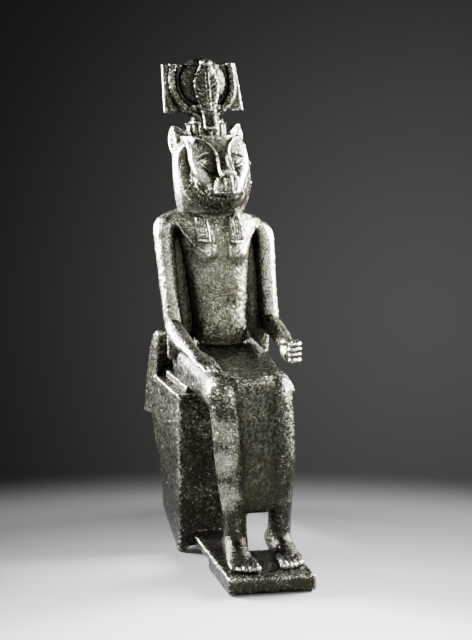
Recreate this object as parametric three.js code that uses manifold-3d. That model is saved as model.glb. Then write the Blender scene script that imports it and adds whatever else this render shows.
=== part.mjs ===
// A seated goddess with a lioness's head, cast in bronze in one piece with her throne and footplate.
// Millimetres, +Z up. She faces -Y, so her right hand is on the -X side.
// Everything is set out from the ground under the middle of the throne's front edge, and the finished
// casting is then moved so that the origin is the middle of the footplate block's underside.

import * as THREE from 'three';
import { mergeVertices } from 'three/addons/utils/BufferGeometryUtils.js';
import Module from 'manifold-3d';

const wasm = await Module();
wasm.setup();

// Driving sizes of the throne and the footplate.
const throneWidth = 48;
const throneWall = 3;
const seatHeight = 69;
const seatThickness = 4;
const seatDepth = 44;
const backrestHeight = 21;
const backrestTopThickness = 5;
const backrestLean = 4.5;
const backPanelFlare = 24;
const backPanelDrop = 21.5;
const plateWidth = 35;
const plateThickness = 7.5;
const plateReach = 58.3;
const plateBlockDepth = 32.3;
const plateFrontSkew = 2;
const plateWear = 1;
const bridgeThickness = 3;
const bridgeWidth = 14.5;
const seatStepHeight = 2.8;
const seatStepInset = 4.6;
const seatStepSetback = 4;

// The figure is measured from the seat up and keeps its proportions as shares of this height.
const seatToCrown = 108;
const unit = seatToCrown / 108;

// Lean of the casting, by height: the body drifts to her right, and the head tips and drifts with it.
const bodyDrift = 0.076;
const headTip = THREE.MathUtils.degToRad(1.8);
const headDrift = 0.042;
const shoulderDip = 0.07;

// Heights of the figure's landmarks.
const soleZ = plateThickness;
const hemZ = soleZ + 0.29 * (seatHeight - soleZ);
const lapZ = seatHeight + 15 * unit;
const waistZ = seatHeight + 28 * unit;
const shoulderZ = seatHeight + 73 * unit;
const neckZ = seatHeight + 76 * unit;
const shinY = -29.5 * unit;

// Shape helpers.

function closedLoft(rings) {
  const count = rings[0].length;
  const points = rings.flat();
  const middle = ring => ring.reduce((sum, p) => sum.add(p), new THREE.Vector3()).divideScalar(count);
  const first = points.push(middle(rings[0])) - 1;
  const last = points.push(middle(rings[rings.length - 1])) - 1;
  const index = [];
  for (let i = 0; i + 1 < rings.length; i++) {
    for (let j = 0; j < count; j++) {
      const a = i * count + j;
      const b = i * count + (j + 1) % count;
      index.push(a, b, b + count, a, b + count, a + count);
    }
  }
  const top = (rings.length - 1) * count;
  for (let j = 0; j < count; j++) {
    const next = (j + 1) % count;
    index.push(first, next, j);
    index.push(last, top + j, top + next);
  }
  const geometry = new THREE.BufferGeometry();
  geometry.setAttribute('position', new THREE.Float32BufferAttribute(points.flatMap(p => p.toArray()), 3));
  geometry.setIndex(index);
  return geometry;
}

// A flat ring seen from above: rounded between an ellipse (power 2) and a box (high power).
function levelRing(x, y, z, halfWidth, halfDepth, power = 2.4, count = 16) {
  return Array.from({ length: count }, (_, i) => {
    const angle = (i / count) * 2 * Math.PI;
    const c = Math.cos(angle);
    const s = Math.sin(angle);
    const swell = (Math.abs(c) ** power + Math.abs(s) ** power) ** (-1 / power);
    return new THREE.Vector3(x + halfWidth * c * swell, y + halfDepth * s * swell, z);
  });
}

// A limb along a smooth path. Each station is [x, y, z, half width across, half thickness].
function limb(stations, count = 8, steps = 1, up = new THREE.Vector3(0, 0, 1)) {
  const path = new THREE.CatmullRomCurve3(stations.map(s => new THREE.Vector3(s[0], s[1], s[2])));
  const total = (stations.length - 1) * steps;
  const rings = [];
  for (let i = 0; i <= total; i++) {
    const place = i / total * (stations.length - 1);
    const before = Math.min(Math.floor(place), stations.length - 2);
    const share = place - before;
    const wide = THREE.MathUtils.lerp(stations[before][3], stations[before + 1][3], share);
    const thick = THREE.MathUtils.lerp(stations[before][4], stations[before + 1][4], share);
    const centre = path.getPoint(i / total);
    const along = path.getTangent(i / total);
    const across = new THREE.Vector3().crossVectors(up, along).normalize();
    const out = new THREE.Vector3().crossVectors(along, across);
    rings.push(Array.from({ length: count }, (_, j) => {
      const angle = (j / count) * 2 * Math.PI;
      return centre.clone()
        .addScaledVector(across, wide * Math.cos(angle))
        .addScaledVector(out, thick * Math.sin(angle));
    }));
  }
  return closedLoft(rings);
}

function ball(x, y, z, rx, ry, rz, across = 9, high = 5) {
  return new THREE.SphereGeometry(1, across, high).scale(rx, ry, rz).translate(x, y, z);
}

// An outline in the X-Z plane made solid between two Y planes, the nearer one first.
function slabXZ(outline, front, back) {
  const shape = new THREE.Shape(outline.map(p => new THREE.Vector2(p[0], p[1])));
  return new THREE.ExtrudeGeometry(shape, { depth: back - front, bevelEnabled: false, curveSegments: 10 })
    .rotateX(Math.PI / 2)
    .translate(0, back, 0);
}

// An outline in the Y-Z plane made solid between two X planes.
function slabYZ(outline, left, right) {
  const shape = new THREE.Shape(outline.map(p => new THREE.Vector2(p[0], p[1])));
  return new THREE.ExtrudeGeometry(shape, { depth: right - left, bevelEnabled: false, curveSegments: 10 })
    .rotateX(Math.PI / 2)
    .rotateZ(Math.PI / 2)
    .translate(left, 0, 0);
}

function solid(geometry) {
  const bare = geometry.clone();
  bare.deleteAttribute('normal');
  bare.deleteAttribute('uv');
  const merged = mergeVertices(bare, 1e-4);
  return new wasm.Manifold(new wasm.Mesh({
    numProp: 3,
    vertProperties: Float32Array.from(merged.attributes.position.array),
    triVerts: Uint32Array.from(merged.index.array),
  }));
}

function joined(geometries) {
  return geometries.map(solid).reduce((whole, piece) => whole.add(piece));
}

// The same shape on both sides of the body.
function bothSides(make) {
  return [make(-1), make(1)];
}

// The body's drift to her right, the same at every depth.
function drifted(geometry) {
  const p = geometry.attributes.position;
  for (let i = 0; i < p.count; i++) {
    const rise = Math.max(0, p.getZ(i) - waistZ);
    const reach = THREE.MathUtils.clamp(rise / (shoulderZ - waistZ), 0, 1);
    p.setZ(i, p.getZ(i) - shoulderDip * reach * p.getX(i));
    p.setX(i, p.getX(i) - bodyDrift * rise);
  }
  return geometry;
}

// The head and headdress turn about the neck, which the drift has carried along, and drift further.
function tipped(geometry) {
  geometry.translate(0, 0, -neckZ).rotateY(-headTip);
  const p = geometry.attributes.position;
  for (let i = 0; i < p.count; i++) {
    p.setX(i, p.getX(i) - headDrift * p.getZ(i));
  }
  return geometry.translate(-bodyDrift * (neckZ - waistZ), 0, neckZ);
}

// Throne: a thin hollow box with a low backrest, open below and behind, its edges broken.

function throne() {
  const half = throneWidth / 2;
  const inner = half - throneWall;
  const seatUnder = seatHeight - seatThickness;
  const backTop = seatHeight + backrestHeight;
  const panelFoot = seatHeight - backPanelDrop;
  const panelY = seatDepth + backPanelFlare;
  const backrest = [
    [seatDepth, seatUnder],
    [seatDepth, seatHeight],
    [seatDepth - backrestLean, backTop - 1],
    [seatDepth - backrestLean + 1, backTop],
    [seatDepth - backrestLean + backrestTopThickness, backTop - 0.5],
    [seatDepth + 0.4 * backPanelFlare, seatHeight + 0.6 * backrestHeight],
    [seatDepth + 0.62 * backPanelFlare, seatHeight + 0.12 * backrestHeight],
    [seatDepth + 0.78 * backPanelFlare, seatUnder],
  ];
  const panel = [
    [seatDepth + 0.62 * backPanelFlare, seatHeight],
    [seatDepth + 0.79 * backPanelFlare, seatHeight - 0.27 * backPanelDrop],
    [panelY, panelFoot],
    [panelY - throneWall, panelFoot],
    [seatDepth + 0.62 * backPanelFlare - throneWall, seatUnder],
  ];
  // The right wall breaks away in a stair of chips that climbs from the front corner to the panel.
  const rightWall = [
    [0, seatHeight], [0, 0], [throneWall, 0],
    [0.17 * seatDepth, 0.03 * seatHeight],
    [0.33 * seatDepth, 0.065 * seatHeight],
    [0.53 * seatDepth, 0.125 * seatHeight],
    [0.7 * seatDepth, 0.18 * seatHeight],
    [0.73 * seatDepth, 0.31 * seatHeight],
    [0.81 * seatDepth, 0.42 * seatHeight],
    [0.81 * seatDepth, 0.49 * seatHeight],
    [0.99 * seatDepth, 0.535 * seatHeight],
    [1.08 * seatDepth, 0.62 * seatHeight],
    [1.19 * seatDepth, panelFoot + 2],
    [panelY, panelFoot],
    [seatDepth + 0.79 * backPanelFlare, seatHeight - 0.27 * backPanelDrop],
    [seatDepth + 0.62 * backPanelFlare, seatHeight],
  ];
  // The left wall has lost its lower front and stands on its rear foot.
  const leftWall = [
    [0, seatHeight],
    [0, 0.27 * seatHeight],
    [0.25 * seatDepth, 0.21 * seatHeight],
    [0.5 * seatDepth, 0.15 * seatHeight],
    [0.8 * seatDepth, 0.1 * seatHeight],
    [1.08 * seatDepth, 0.02 * seatHeight],
    [1.12 * seatDepth, 0],
    [1.36 * seatDepth, 0],
    [1.42 * seatDepth, 0.2 * seatHeight],
    [1.52 * seatDepth, 0.45 * seatHeight],
    [panelY, panelFoot],
    [seatDepth + 0.79 * backPanelFlare, seatHeight - 0.27 * backPanelDrop],
    [seatDepth + 0.62 * backPanelFlare, seatHeight],
  ];
  // The front wall reaches the ground at her right corner only, and is broken out behind the ankles.
  const frontWall = [
    [-half, 0],
    [-half + throneWall, 0],
    [-half + throneWall + 1.5, 1.8],
    [-plateWidth / 2, plateThickness - bridgeThickness - 2],
    [-plateWidth / 2 + bridgeWidth, plateThickness - bridgeThickness - 2],
    [0, 0.14 * seatHeight],
    [0.12 * half, 0.25 * seatHeight],
    [0.35 * half, 0.28 * seatHeight],
    [0.7 * half, 0.28 * seatHeight],
    [half, 0.27 * seatHeight],
    [half, seatHeight],
    [-half, seatHeight],
  ];
  const step = [
    [seatStepSetback, seatUnder + 1],
    [seatDepth + 1, seatUnder + 1],
    [seatDepth + 1, seatHeight + seatStepHeight],
    [seatStepSetback, seatHeight + seatStepHeight],
  ];
  const seat = [
    [0, seatUnder],
    [seatDepth + 0.6 * backPanelFlare, seatUnder],
    [seatDepth + 0.6 * backPanelFlare, seatHeight],
    [0, seatHeight],
  ];
  return [
    slabYZ(rightWall, -half, -inner),
    slabYZ(leftWall, inner, half),
    slabXZ(frontWall, 0, throneWall),
    slabYZ(seat, -half, half),
    slabYZ(backrest, -half, half),
    slabYZ(step, -half + seatStepInset, half - seatStepInset),
    slabYZ(panel, -half, half),
    brokenPanelCorner(inner, panelY, panelFoot),
  ];
}

// What is left of the panel below its broken edge, towards the left wall.
function brokenPanelCorner(inner, panelY, panelFoot) {
  const outline = [
    [-inner, panelFoot + 1],
    [-0.3 * inner, panelFoot - 6],
    [0.3 * inner, panelFoot - 11],
    [0.7 * inner, panelFoot - 22],
    [inner + 1, panelFoot - 26],
    [inner + 1, panelFoot + 1],
  ];
  const lean = 0.19;
  const geometry = slabXZ(outline, panelY - throneWall, panelY - 0.2);
  const p = geometry.attributes.position;
  for (let i = 0; i < p.count; i++) {
    p.setY(i, p.getY(i) - lean * Math.max(0, panelFoot - p.getZ(i)));
  }
  return geometry;
}

// Footplate: a thick block under the feet, and a thin bridge back to the throne's front.

function footplate() {
  const half = plateWidth / 2 - plateWear;
  const front = -plateReach + plateWear;
  const back = -plateReach + plateBlockDepth - plateWear;
  const outline = new THREE.Shape([
    new THREE.Vector2(-half, front + plateFrontSkew + 1),
    new THREE.Vector2(-half + 1.5, front + plateFrontSkew),
    new THREE.Vector2(half - 1.5, front - plateFrontSkew),
    new THREE.Vector2(half, front - plateFrontSkew + 1),
    new THREE.Vector2(half, back),
    new THREE.Vector2(-half, back),
  ]);
  const block = new THREE.ExtrudeGeometry(outline, {
    depth: plateThickness - 2 * plateWear,
    bevelSize: plateWear,
    bevelThickness: plateWear,
    bevelSegments: 2,
  }).translate(0, 0, plateWear);
  const under = plateThickness - bridgeThickness;
  const bridge = slabYZ([
    [back - 4, plateThickness],
    [back - 4, under],
    [0.5 * back, under - 0.4],
    [0.2 * back, under - 1.3],
    [throneWall / 2, under - 2],
    [throneWall / 2, plateThickness + 1.5],
    [0.15 * back, plateThickness],
  ], -plateWidth / 2 + 0.2, -plateWidth / 2 + bridgeWidth);
  return [block, bridge];
}

// Feet are wide at the toes, and the big toe is on the inner side.

const footX = { [-1]: -9.2, [1]: 11.3 };
const ankleX = { [-1]: -7.5, [1]: 11.1 };
const footBack = { [-1]: 0, [1]: 0.6 };

function foot(side) {
  const x = footX[side] * unit;
  const ax = ankleX[side] * unit;
  const z = soleZ;
  const heelY = shinY + footBack[side] * unit;
  const pieces = [limb([
    [ax, heelY + 8 * unit, z + 2.6 * unit, 3.4 * unit, 3.2 * unit],
    [ax, heelY + 2 * unit, z + 4.4 * unit, 4.6 * unit, 5.6 * unit],
    [(ax + x) / 2, heelY - 7 * unit, z + 3.4 * unit, 5 * unit, 4.8 * unit],
    [x, heelY - 15 * unit, z + 1.8 * unit, 5.4 * unit, 3.2 * unit],
    [x, heelY - 20 * unit, z + 1 * unit, 5.3 * unit, 1.9 * unit],
  ], 10)];
  const toes = 5;
  for (let i = 0; i < toes; i++) {
    const share = i / (toes - 1);
    const thick = (1.8 - 0.75 * share) * unit;
    const tx = x + side * (share - 0.5) * 8.8 * unit;
    const reach = (25 - 4.5 * share * share) * unit;
    pieces.push(limb([
      [tx, heelY - 16 * unit, z + 2 * unit, thick, thick],
      [tx, heelY - reach + thick, z + 0.9 * thick, thick, thick],
      [tx, heelY - reach, z + 0.5 * thick, 0.6 * thick, 0.6 * thick],
    ], 5));
  }
  return pieces;
}

// Shins show rounded through a long tight dress, which is stretched between them down to the hem.

function shin(side) {
  const knee = side < 0 ? -13.4 : 9.5;
  const calf = side < 0 ? -10.6 : 11.4;
  const rise = share => soleZ + share * (seatHeight - soleZ);
  return limb([
    [ankleX[side], -0.5, 2.6, rise(0.04)],
    [ankleX[side], 0.2, 4.7, rise(0.12)],
    [ankleX[side] * 1.03, 0.2, 4.8, rise(0.28)],
    [(ankleX[side] + calf) / 2, -0.6, 5.4, rise(0.45)],
    [calf, -1.4, 5.8, rise(0.66)],
    [(calf + knee) / 2, -1.8, 5.9, rise(0.9)],
    [knee, -1.6, 6.1, lapZ - 6 * unit],
    [knee, 0.4, 5.4, lapZ - 2 * unit],
    [knee, 2, 3.6, lapZ - 0.6 * unit],
  ].map(([x, y, r, z]) => (
    [x * unit, shinY + (y - 2.2) * unit, z, r * unit, 1.15 * r * unit]
  )), 10, 1, new THREE.Vector3(0, 1, 0));
}

function dress() {
  const stations = [
    // height, left edge, right edge, front, back
    [hemZ, -7, 10.6, -33, -25],
    [hemZ + 1.6, -8, 11.4, -36, -22.5],
    [hemZ + 9, -10, 12, -37.4, -21],
    [hemZ + 23, -12, 12.6, -37.4, -20],
    [hemZ + 38, -14, 11.6, -38, -19],
    [lapZ - 6 * unit, -15, 11.4, -38.6, -14],
    [lapZ - 2 * unit, -15, 11, -37.6, -12],
    [lapZ - 0.6 * unit, -14, 10, -35, -12],
  ];
  const body = closedLoft(stations.map(([z, left, right, front, back]) => (
    levelRing((left + right) / 2 * unit, (front + back) / 2 * unit, z,
      (right - left) / 2 * unit, (back - front) / 2 * unit, 3.4)
  )));
  return [body, ...dressFolds()];
}

// Upright pleats in the cloth between the shins.
function dressFolds() {
  const folds = 4;
  return Array.from({ length: folds }, (_, i) => {
    const x = (-3.6 + 9 * i / (folds - 1)) * unit;
    return limb([
      [x, -36.4 * unit, hemZ + 4, 0.5, 0.5],
      [x * 0.98, -37.2 * unit, hemZ + 16, 0.7, 0.7],
      [x * 0.9, -37.9 * unit, lapZ - 12 * unit, 0.5, 0.5],
    ], 3, 1, new THREE.Vector3(0, 1, 0));
  });
}

// Thighs lie side by side on the seat, with the lap sunk a little between them.

function thighs() {
  const stations = [
    // depth, left edge, right edge, underside, top
    [-34, -14, 11.6, 6, 11.5],
    [-30, -17.4, 15, 0, 13.8],
    [-16, -19, 16.6, -1.8, 16.2],
    [0, -19.6, 18.2, -1, 18],
    [16, -19.6, 19.2, -1, 19.5],
    [30, -18.6, 18.6, -1, 18.5],
    [38, -15.5, 15.5, 0, 15],
    [41, -10, 10, 3, 10],
  ];
  const count = 16;
  return closedLoft(stations.map(([y, left, right, under, top]) => {
    const cx = (left + right) / 2;
    const cz = (under + top) / 2;
    const ring = levelRing(cx, -cz, 0, (right - left) / 2, (top - under) / 2, 2.8, count);
    return ring.map(p => {
      const across = Math.abs(p.x - cx) / ((right - left) / 2);
      const sink = -p.y > cz ? 1.8 * Math.max(0, 1 - (across / 0.55) ** 2) : 0;
      return new THREE.Vector3(p.x * unit, y * unit, seatHeight + (-p.y - sink) * unit);
    }).reverse();
  }).reverse());
}

// Torso: slim waist, broad shoulders, small high breasts.

function torso() {
  const stations = [
    // height over the seat, half width, half depth, middle in depth
    [2, 17, 15, 21],
    [10, 16.5, 13.5, 21],
    [20, 13.6, 11.3, 20],
    [28, 12.2, 10.2, 19.4],
    [38, 12.6, 10, 19],
    [54, 13.9, 10.8, 18.4],
    [61, 15, 11, 18.2],
    [67, 17, 10.4, 18.4],
    [71.5, 20.5, 8.8, 18.6],
    [75, 19, 7.4, 19],
    [77.5, 12, 6.5, 19.5],
  ];
  const body = closedLoft(stations.map(([z, w, d, y]) => (
    levelRing(0, y * unit, seatHeight + z * unit, w * unit, d * unit)
  )));
  const breasts = bothSides(side => (
    ball(side * 7.4 * unit, 9.4 * unit, seatHeight + 60.5 * unit, 5.2 * unit, 4.6 * unit, 5.4 * unit)
  ));
  const belly = ball(0, 12 * unit, waistZ - 3 * unit, 9 * unit, 3 * unit, 10 * unit);
  // A thin web of metal closes the space between each arm and the ribs.
  const webs = bothSides(side => limb([
    [side * 17 * unit, 22 * unit, waistZ, 6 * unit, 2.2 * unit],
    [side * 18 * unit, 22 * unit, shoulderZ - 6 * unit, 6 * unit, 2.2 * unit],
  ], 6, 2, new THREE.Vector3(0, 1, 0)));
  return [body, ...breasts, belly, ...webs, ...straps()];
}

// Wide shoulder straps of the dress, edged with a thin line that runs in under the breasts.
function straps() {
  return bothSides(side => limb([
    [side * 15.6 * unit, 10.8 * unit, shoulderZ - 4 * unit, 0.6, 0.6],
    [side * 12 * unit, 7.6 * unit, shoulderZ - 12 * unit, 0.6, 0.6],
    [side * 8 * unit, 5 * unit, shoulderZ - 17.5 * unit, 0.6, 0.6],
    [side * 3 * unit, 6.4 * unit, shoulderZ - 20.5 * unit, 0.6, 0.6],
  ], 4));
}

// Arms: both hang straight from the shoulder and bend forward at the elbow onto the thighs.

function upperArm(side) {
  const x = side * 22.2 * unit;
  return limb([
    [x - side * 2.8 * unit, 18.6 * unit, shoulderZ + 1.4 * unit, 3.2 * unit, 4 * unit],
    [x - side * 1 * unit, 18.4 * unit, shoulderZ - 0.4 * unit, 4.5 * unit, 5.8 * unit],
    [x - side * 0.2 * unit, 18.2 * unit, shoulderZ - 4 * unit, 4.6 * unit, 6.4 * unit],
    [x, 17.8 * unit, shoulderZ - 12 * unit, 4.1 * unit, 5.8 * unit],
    [x - side * 0.2 * unit, 17 * unit, waistZ + 14 * unit, 3.8 * unit, 5 * unit],
    [x - side * 0.5 * unit, 16 * unit, waistZ + 2 * unit, 4 * unit, 5.2 * unit],
    [x - side * 0.8 * unit, 14.5 * unit, waistZ - 4 * unit, 3.2 * unit, 4 * unit],
  ], 10, 1, new THREE.Vector3(0, 1, 0));
}

// A station given from the seat's front edge and top, in shares of the figure's height.
function scaled([x, y, z, wide, thick]) {
  return [x * unit, y * unit, seatHeight + z * unit, wide * unit, thick * unit];
}

// Her right hand lies flat on the thigh with its fingers together.
function rightForearm() {
  const arm = limb([
    [-21.4, 17, 27.5, 3.6, 4.2],
    [-21.8, 8, 24.4, 4.2, 4.4],
    [-20.9, -4, 21.6, 3.8, 3.6],
    [-19.4, -13, 19.4, 3.2, 2.6],
    [-18.2, -18.5, 18, 4.2, 2],
    [-17.3, -23.5, 16.9, 4.2, 1.7],
  ].map(scaled), 10);
  const fingers = Array.from({ length: 4 }, (_, i) => {
    const x = -20.2 + 2 * i;
    const reach = -29.5 - 1.2 * Math.sin(Math.PI * (i + 0.5) / 4);
    return limb([
      [x, -20.5, 17.6, 1.05, 1],
      [x + 0.5, 0.5 * (reach - 20.5), 16.7, 1.05, 1],
      [x + 0.9, reach, 15.2, 0.7, 0.6],
    ].map(scaled), 6);
  });
  const thumb = limb([
    [-16, -13.5, 19, 1.4, 1.3],
    [-13.6, -18.5, 17.2, 1.2, 1.1],
    [-12.6, -22.5, 15.9, 0.8, 0.7],
  ].map(scaled), 6);
  return [arm, ...fingers, thumb];
}

// Her left hand is a fist, bored through for a staff that is lost.
function leftForearm() {
  const arm = limb([
    [20.8, 17, 27.5, 3.6, 4.2],
    [21.4, 9, 26, 4.2, 4.4],
    [20.8, -4, 23.4, 3.9, 3.8],
    [19, -15, 22.4, 3.2, 3.1],
    [18.2, -21, 21.8, 3.6, 3.6],
  ].map(scaled), 10);
  const palm = ball(17.8 * unit, -25 * unit, seatHeight + 21.4 * unit, 4.4 * unit, 5 * unit, 4.6 * unit);
  const knuckles = Array.from({ length: 4 }, (_, i) => {
    const level = 24.6 - 2.2 * i;
    return limb([
      [20.2, -23, level, 1.8, 1.35],
      [20, -28, level, 1.8, 1.35],
      [16.4, -29.4, level, 1.5, 1.2],
    ].map(scaled), 5);
  });
  return [arm, palm, ...knuckles];
}

// Head: a broad ruff of mane and a wig behind it, and the lioness's face in front.

function ruffAndWig() {
  const stations = [
    // height over the seat, half width, back, front
    [72, 11.5, 27.5, 13],
    [75, 13.5, 28.5, 11],
    [77.5, 14.4, 28.8, 9.5],
    [79, 15.4, 28.8, 7.4],
    [94, 16.7, 28, 6],
    [100.5, 16.2, 26.8, 6],
    [104, 14.4, 25, 6],
    [107, 12.2, 23.5, 5.5],
    [108.2, 10.2, 22.5, 5],
  ];
  return closedLoft(stations.map(([z, w, back, front]) => (
    levelRing(0, (back + front) / 2 * unit, seatHeight + z * unit, w * unit, (back - front) / 2 * unit, 3, 18)
  )));
}

function maneLocks() {
  const locks = 8;
  return bothSides(side => Array.from({ length: locks }, (_, i) => {
    const angle = THREE.MathUtils.degToRad(-82 + 128 * i / (locks - 1));
    const point = (reach, y) => [
      side * reach * 14.8 * Math.cos(angle) * unit,
      y * unit,
      seatHeight + (91.5 + reach * 12.6 * Math.sin(angle)) * unit,
      1 * unit,
      1 * unit,
    ];
    return limb([point(0.68, 5.4), point(1, 7)], 3, 1, new THREE.Vector3(0, 1, 0));
  })).flat();
}

function face() {
  const stations = [
    // height over the seat, half width, front
    [79.5, 6, 2],
    [82.5, 8.6, -1.5],
    [88, 10.2, -1.8],
    [98, 11.8, -0.2],
    [103.5, 11.2, 0.4],
    [108.4, 9.8, 1.6],
  ];
  const back = 14;
  const mass = closedLoft(stations.map(([z, w, front]) => (
    levelRing(0, (back + front) / 2 * unit, seatHeight + z * unit, w * unit, (back - front) / 2 * unit, 2.6, 14)
  )));
  const z = seatHeight;
  const bridge = limb([
    [0, 2, 107, 7.4, 2],
    [0, -0.4, 101.6, 4.4, 2],
    [0, -3.8, 97, 3, 2.4],
    [0, -7.4, 93.4, 2.9, 2.4],
  ].map(scaled));
  const nose = ball(0, -7.6 * unit, z + 92 * unit, 3.2 * unit, 2.2 * unit, 2.1 * unit);
  const muzzle = ball(0, -2.6 * unit, z + 88 * unit, 6.6 * unit, 6 * unit, 5.6 * unit);
  const chin = ball(0, -3.4 * unit, z + 82.6 * unit, 5 * unit, 3.6 * unit, 2.5 * unit);
  const pads = bothSides(side => (
    ball(side * 3.3 * unit, -5 * unit, z + 87.6 * unit, 3.6 * unit, 3.6 * unit, 4 * unit)
  ));
  const eyes = bothSides(side => (
    ball(side * 6.6 * unit, 0 * unit, z + 97.6 * unit, 2.9 * unit, 1.5 * unit, 1.4 * unit, 8, 4)
  ));
  const brows = bothSides(side => limb([
    [side * 3, -1.6, 99.6, 0.9, 0.8],
    [side * 6.5, -1, 101, 0.9, 0.8],
    [side * 10, 1, 99.8, 0.8, 0.7],
  ].map(scaled), 4));
  const cheeks = bothSides(side => (
    ball(side * 7.8 * unit, 1.2 * unit, z + 90.6 * unit, 3.8 * unit, 3.4 * unit, 5.2 * unit)
  ));
  return [mass, bridge, nose, muzzle, chin, ...pads, ...eyes, ...brows, ...cheeks];
}

// Round ears, hollow in front, with a ridge up the middle.
function ear(side) {
  const width = 9.6 * unit;
  const high = 12.6 * unit;
  const outline = new THREE.Shape();
  outline.moveTo(-0.42 * width, 0);
  outline.quadraticCurveTo(-0.62 * width, 0.62 * high, 0.04 * width, high);
  outline.quadraticCurveTo(0.66 * width, 0.6 * high, 0.4 * width, 0);
  const rim = new THREE.ExtrudeGeometry(outline, { depth: 3.4 * unit, bevelEnabled: false, curveSegments: 5 });
  const hollow = new THREE.ExtrudeGeometry(outline, { depth: 2 * unit, bevelEnabled: false, curveSegments: 5 })
    .scale(0.78, 0.8, 1)
    .translate(0, 0.06 * high, 2 * unit);
  const ridge = limb([
    [0, 0.04 * high, 1.8 * unit, 0.9 * unit, 1.1 * unit],
    [0.02 * width, 0.84 * high, 1.8 * unit, 0.7 * unit, 0.9 * unit],
  ], 6);
  const place = geometry => geometry
    .rotateX(Math.PI / 2)
    .rotateY(side * THREE.MathUtils.degToRad(10))
    .rotateZ(side * THREE.MathUtils.degToRad(42))
    .translate(side * 10.9 * unit, 18.2 * unit, seatHeight + 101 * unit);
  const shell = solid(tipped(place(rim))).subtract(solid(tipped(place(hollow))));
  return shell.add(solid(tipped(place(ridge))));
}

// Two lappets of the wig fall in front of the shoulders, each a row of narrow upright locks.
function lappet(side) {
  const strands = 6;
  const from = 5.4 * unit;
  const to = 11 * unit;
  const pitch = (to - from) / strands;
  const outline = new THREE.Shape();
  outline.moveTo(side * from, 10 * unit);
  outline.lineTo(side * from, 5.9 * unit);
  for (let i = 0; i < strands; i++) {
    const x = from + i * pitch;
    outline.lineTo(side * (x + 0.5 * pitch), 5.1 * unit);
    outline.lineTo(side * (x + pitch), 5.9 * unit);
  }
  outline.lineTo(side * to, 10 * unit);
  const length = 15.5 * unit;
  const end = slabXZ([[side * (from - 0.2), 0], [side * (to + 0.2), 0],
    [side * (to + 0.2), 1.3 * unit], [side * (from - 0.2), 1.3 * unit]], 4.9 * unit, 10 * unit)
    .translate(0, 0, shoulderZ - 10 * unit);
  return [
    new THREE.ExtrudeGeometry(outline, { depth: length, bevelEnabled: false })
      .translate(0, 0, shoulderZ - 9.5 * unit),
    end,
  ];
}

// Headdress: a ring of small cobras, a back plate cut flat on top, cow's horns, the sun disc and a cobra.

const crownZ = seatHeight + 108 * unit;
const crownY = 17.6 * unit;
const modiusRadius = 8.4 * unit;
const modiusHeight = 8.2 * unit;
const backPlateZ = crownZ + 10.3 * unit;
const backPlateHeight = 20.4 * unit;
const discZ = crownZ + 22.8 * unit;
const discRadius = 10.2 * unit;
const plateFaceY = 19.4 * unit;

function modius() {
  const cobras = 12;
  const steps = 2;
  const outline = new THREE.Shape(Array.from({ length: cobras * steps }, (_, i) => {
    const angle = (i / (cobras * steps)) * 2 * Math.PI;
    const r = modiusRadius - 0.75 * unit * Math.abs(Math.sin(0.5 * cobras * angle));
    return new THREE.Vector2(r * Math.cos(angle), r * Math.sin(angle));
  }));
  const frieze = new THREE.ExtrudeGeometry(outline, { depth: modiusHeight, bevelEnabled: false })
    .translate(0, crownY, crownZ - 1.5 * unit);
  const rim = (z, r, h) => new THREE.CylinderGeometry(r, r, h, 18)
    .rotateX(Math.PI / 2)
    .translate(0, crownY, z);
  return [
    frieze,
    rim(crownZ + 0.1 * unit, modiusRadius + 0.4 * unit, 1.5 * unit),
    rim(crownZ + modiusHeight - 2 * unit, modiusRadius + 0.3 * unit, 1.4 * unit),
  ];
}

function backPlate() {
  const low = 17.4 * unit;
  const high = 15.9 * unit;
  const slip = -0.8 * unit;
  const plate = slabXZ([
    [-low, backPlateZ],
    [low, backPlateZ],
    [high + slip, backPlateZ + backPlateHeight],
    [-high + slip, backPlateZ + backPlateHeight],
  ], plateFaceY, plateFaceY + 2.8 * unit);
  const stem = slabXZ([
    [-6.4 * unit, crownZ + 4 * unit], [6.4 * unit, crownZ + 4 * unit],
    [5.4 * unit, crownZ + 8 * unit], [6.6 * unit, backPlateZ + 3 * unit], [-6.6 * unit, backPlateZ + 3 * unit],
    [-5.4 * unit, crownZ + 8 * unit],
  ], 16.8 * unit, 21.6 * unit);
  return [plate, stem];
}

function horn(side) {
  const y = plateFaceY - 0.4 * unit;
  return limb([
    [1.5, -14.2, 2.2, 1.9],
    [6.4, -12.2, 2.3, 2],
    [10.6, -8.6, 2.1, 1.9],
    [12.7, -3.4, 1.9, 1.8],
    [12.9, 2.4, 1.8, 1.6],
    [12.3, 7.8, 1.7, 1.5],
  ].map(([x, z, wide, thick]) => (
    [side * x * unit, y, discZ + z * unit, wide * unit, thick * unit]
  )), 6, 1, new THREE.Vector3(0, 1, 0));
}

function sunDisc() {
  const rise = 4.6 * unit;
  const profile = Array.from({ length: 5 }, (_, i) => {
    const share = i / 4;
    return new THREE.Vector2(discRadius * Math.sin(share * Math.PI / 2), rise * Math.cos(share * Math.PI / 2) ** 0.9);
  });
  profile.push(new THREE.Vector2(discRadius - 0.8 * unit, -2 * unit));
  profile.push(new THREE.Vector2(0, -2 * unit));
  return new THREE.LatheGeometry(profile.reverse(), 18)
    .rotateX(Math.PI)
    .translate(0, plateFaceY - 0.6 * unit, discZ);
}

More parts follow.
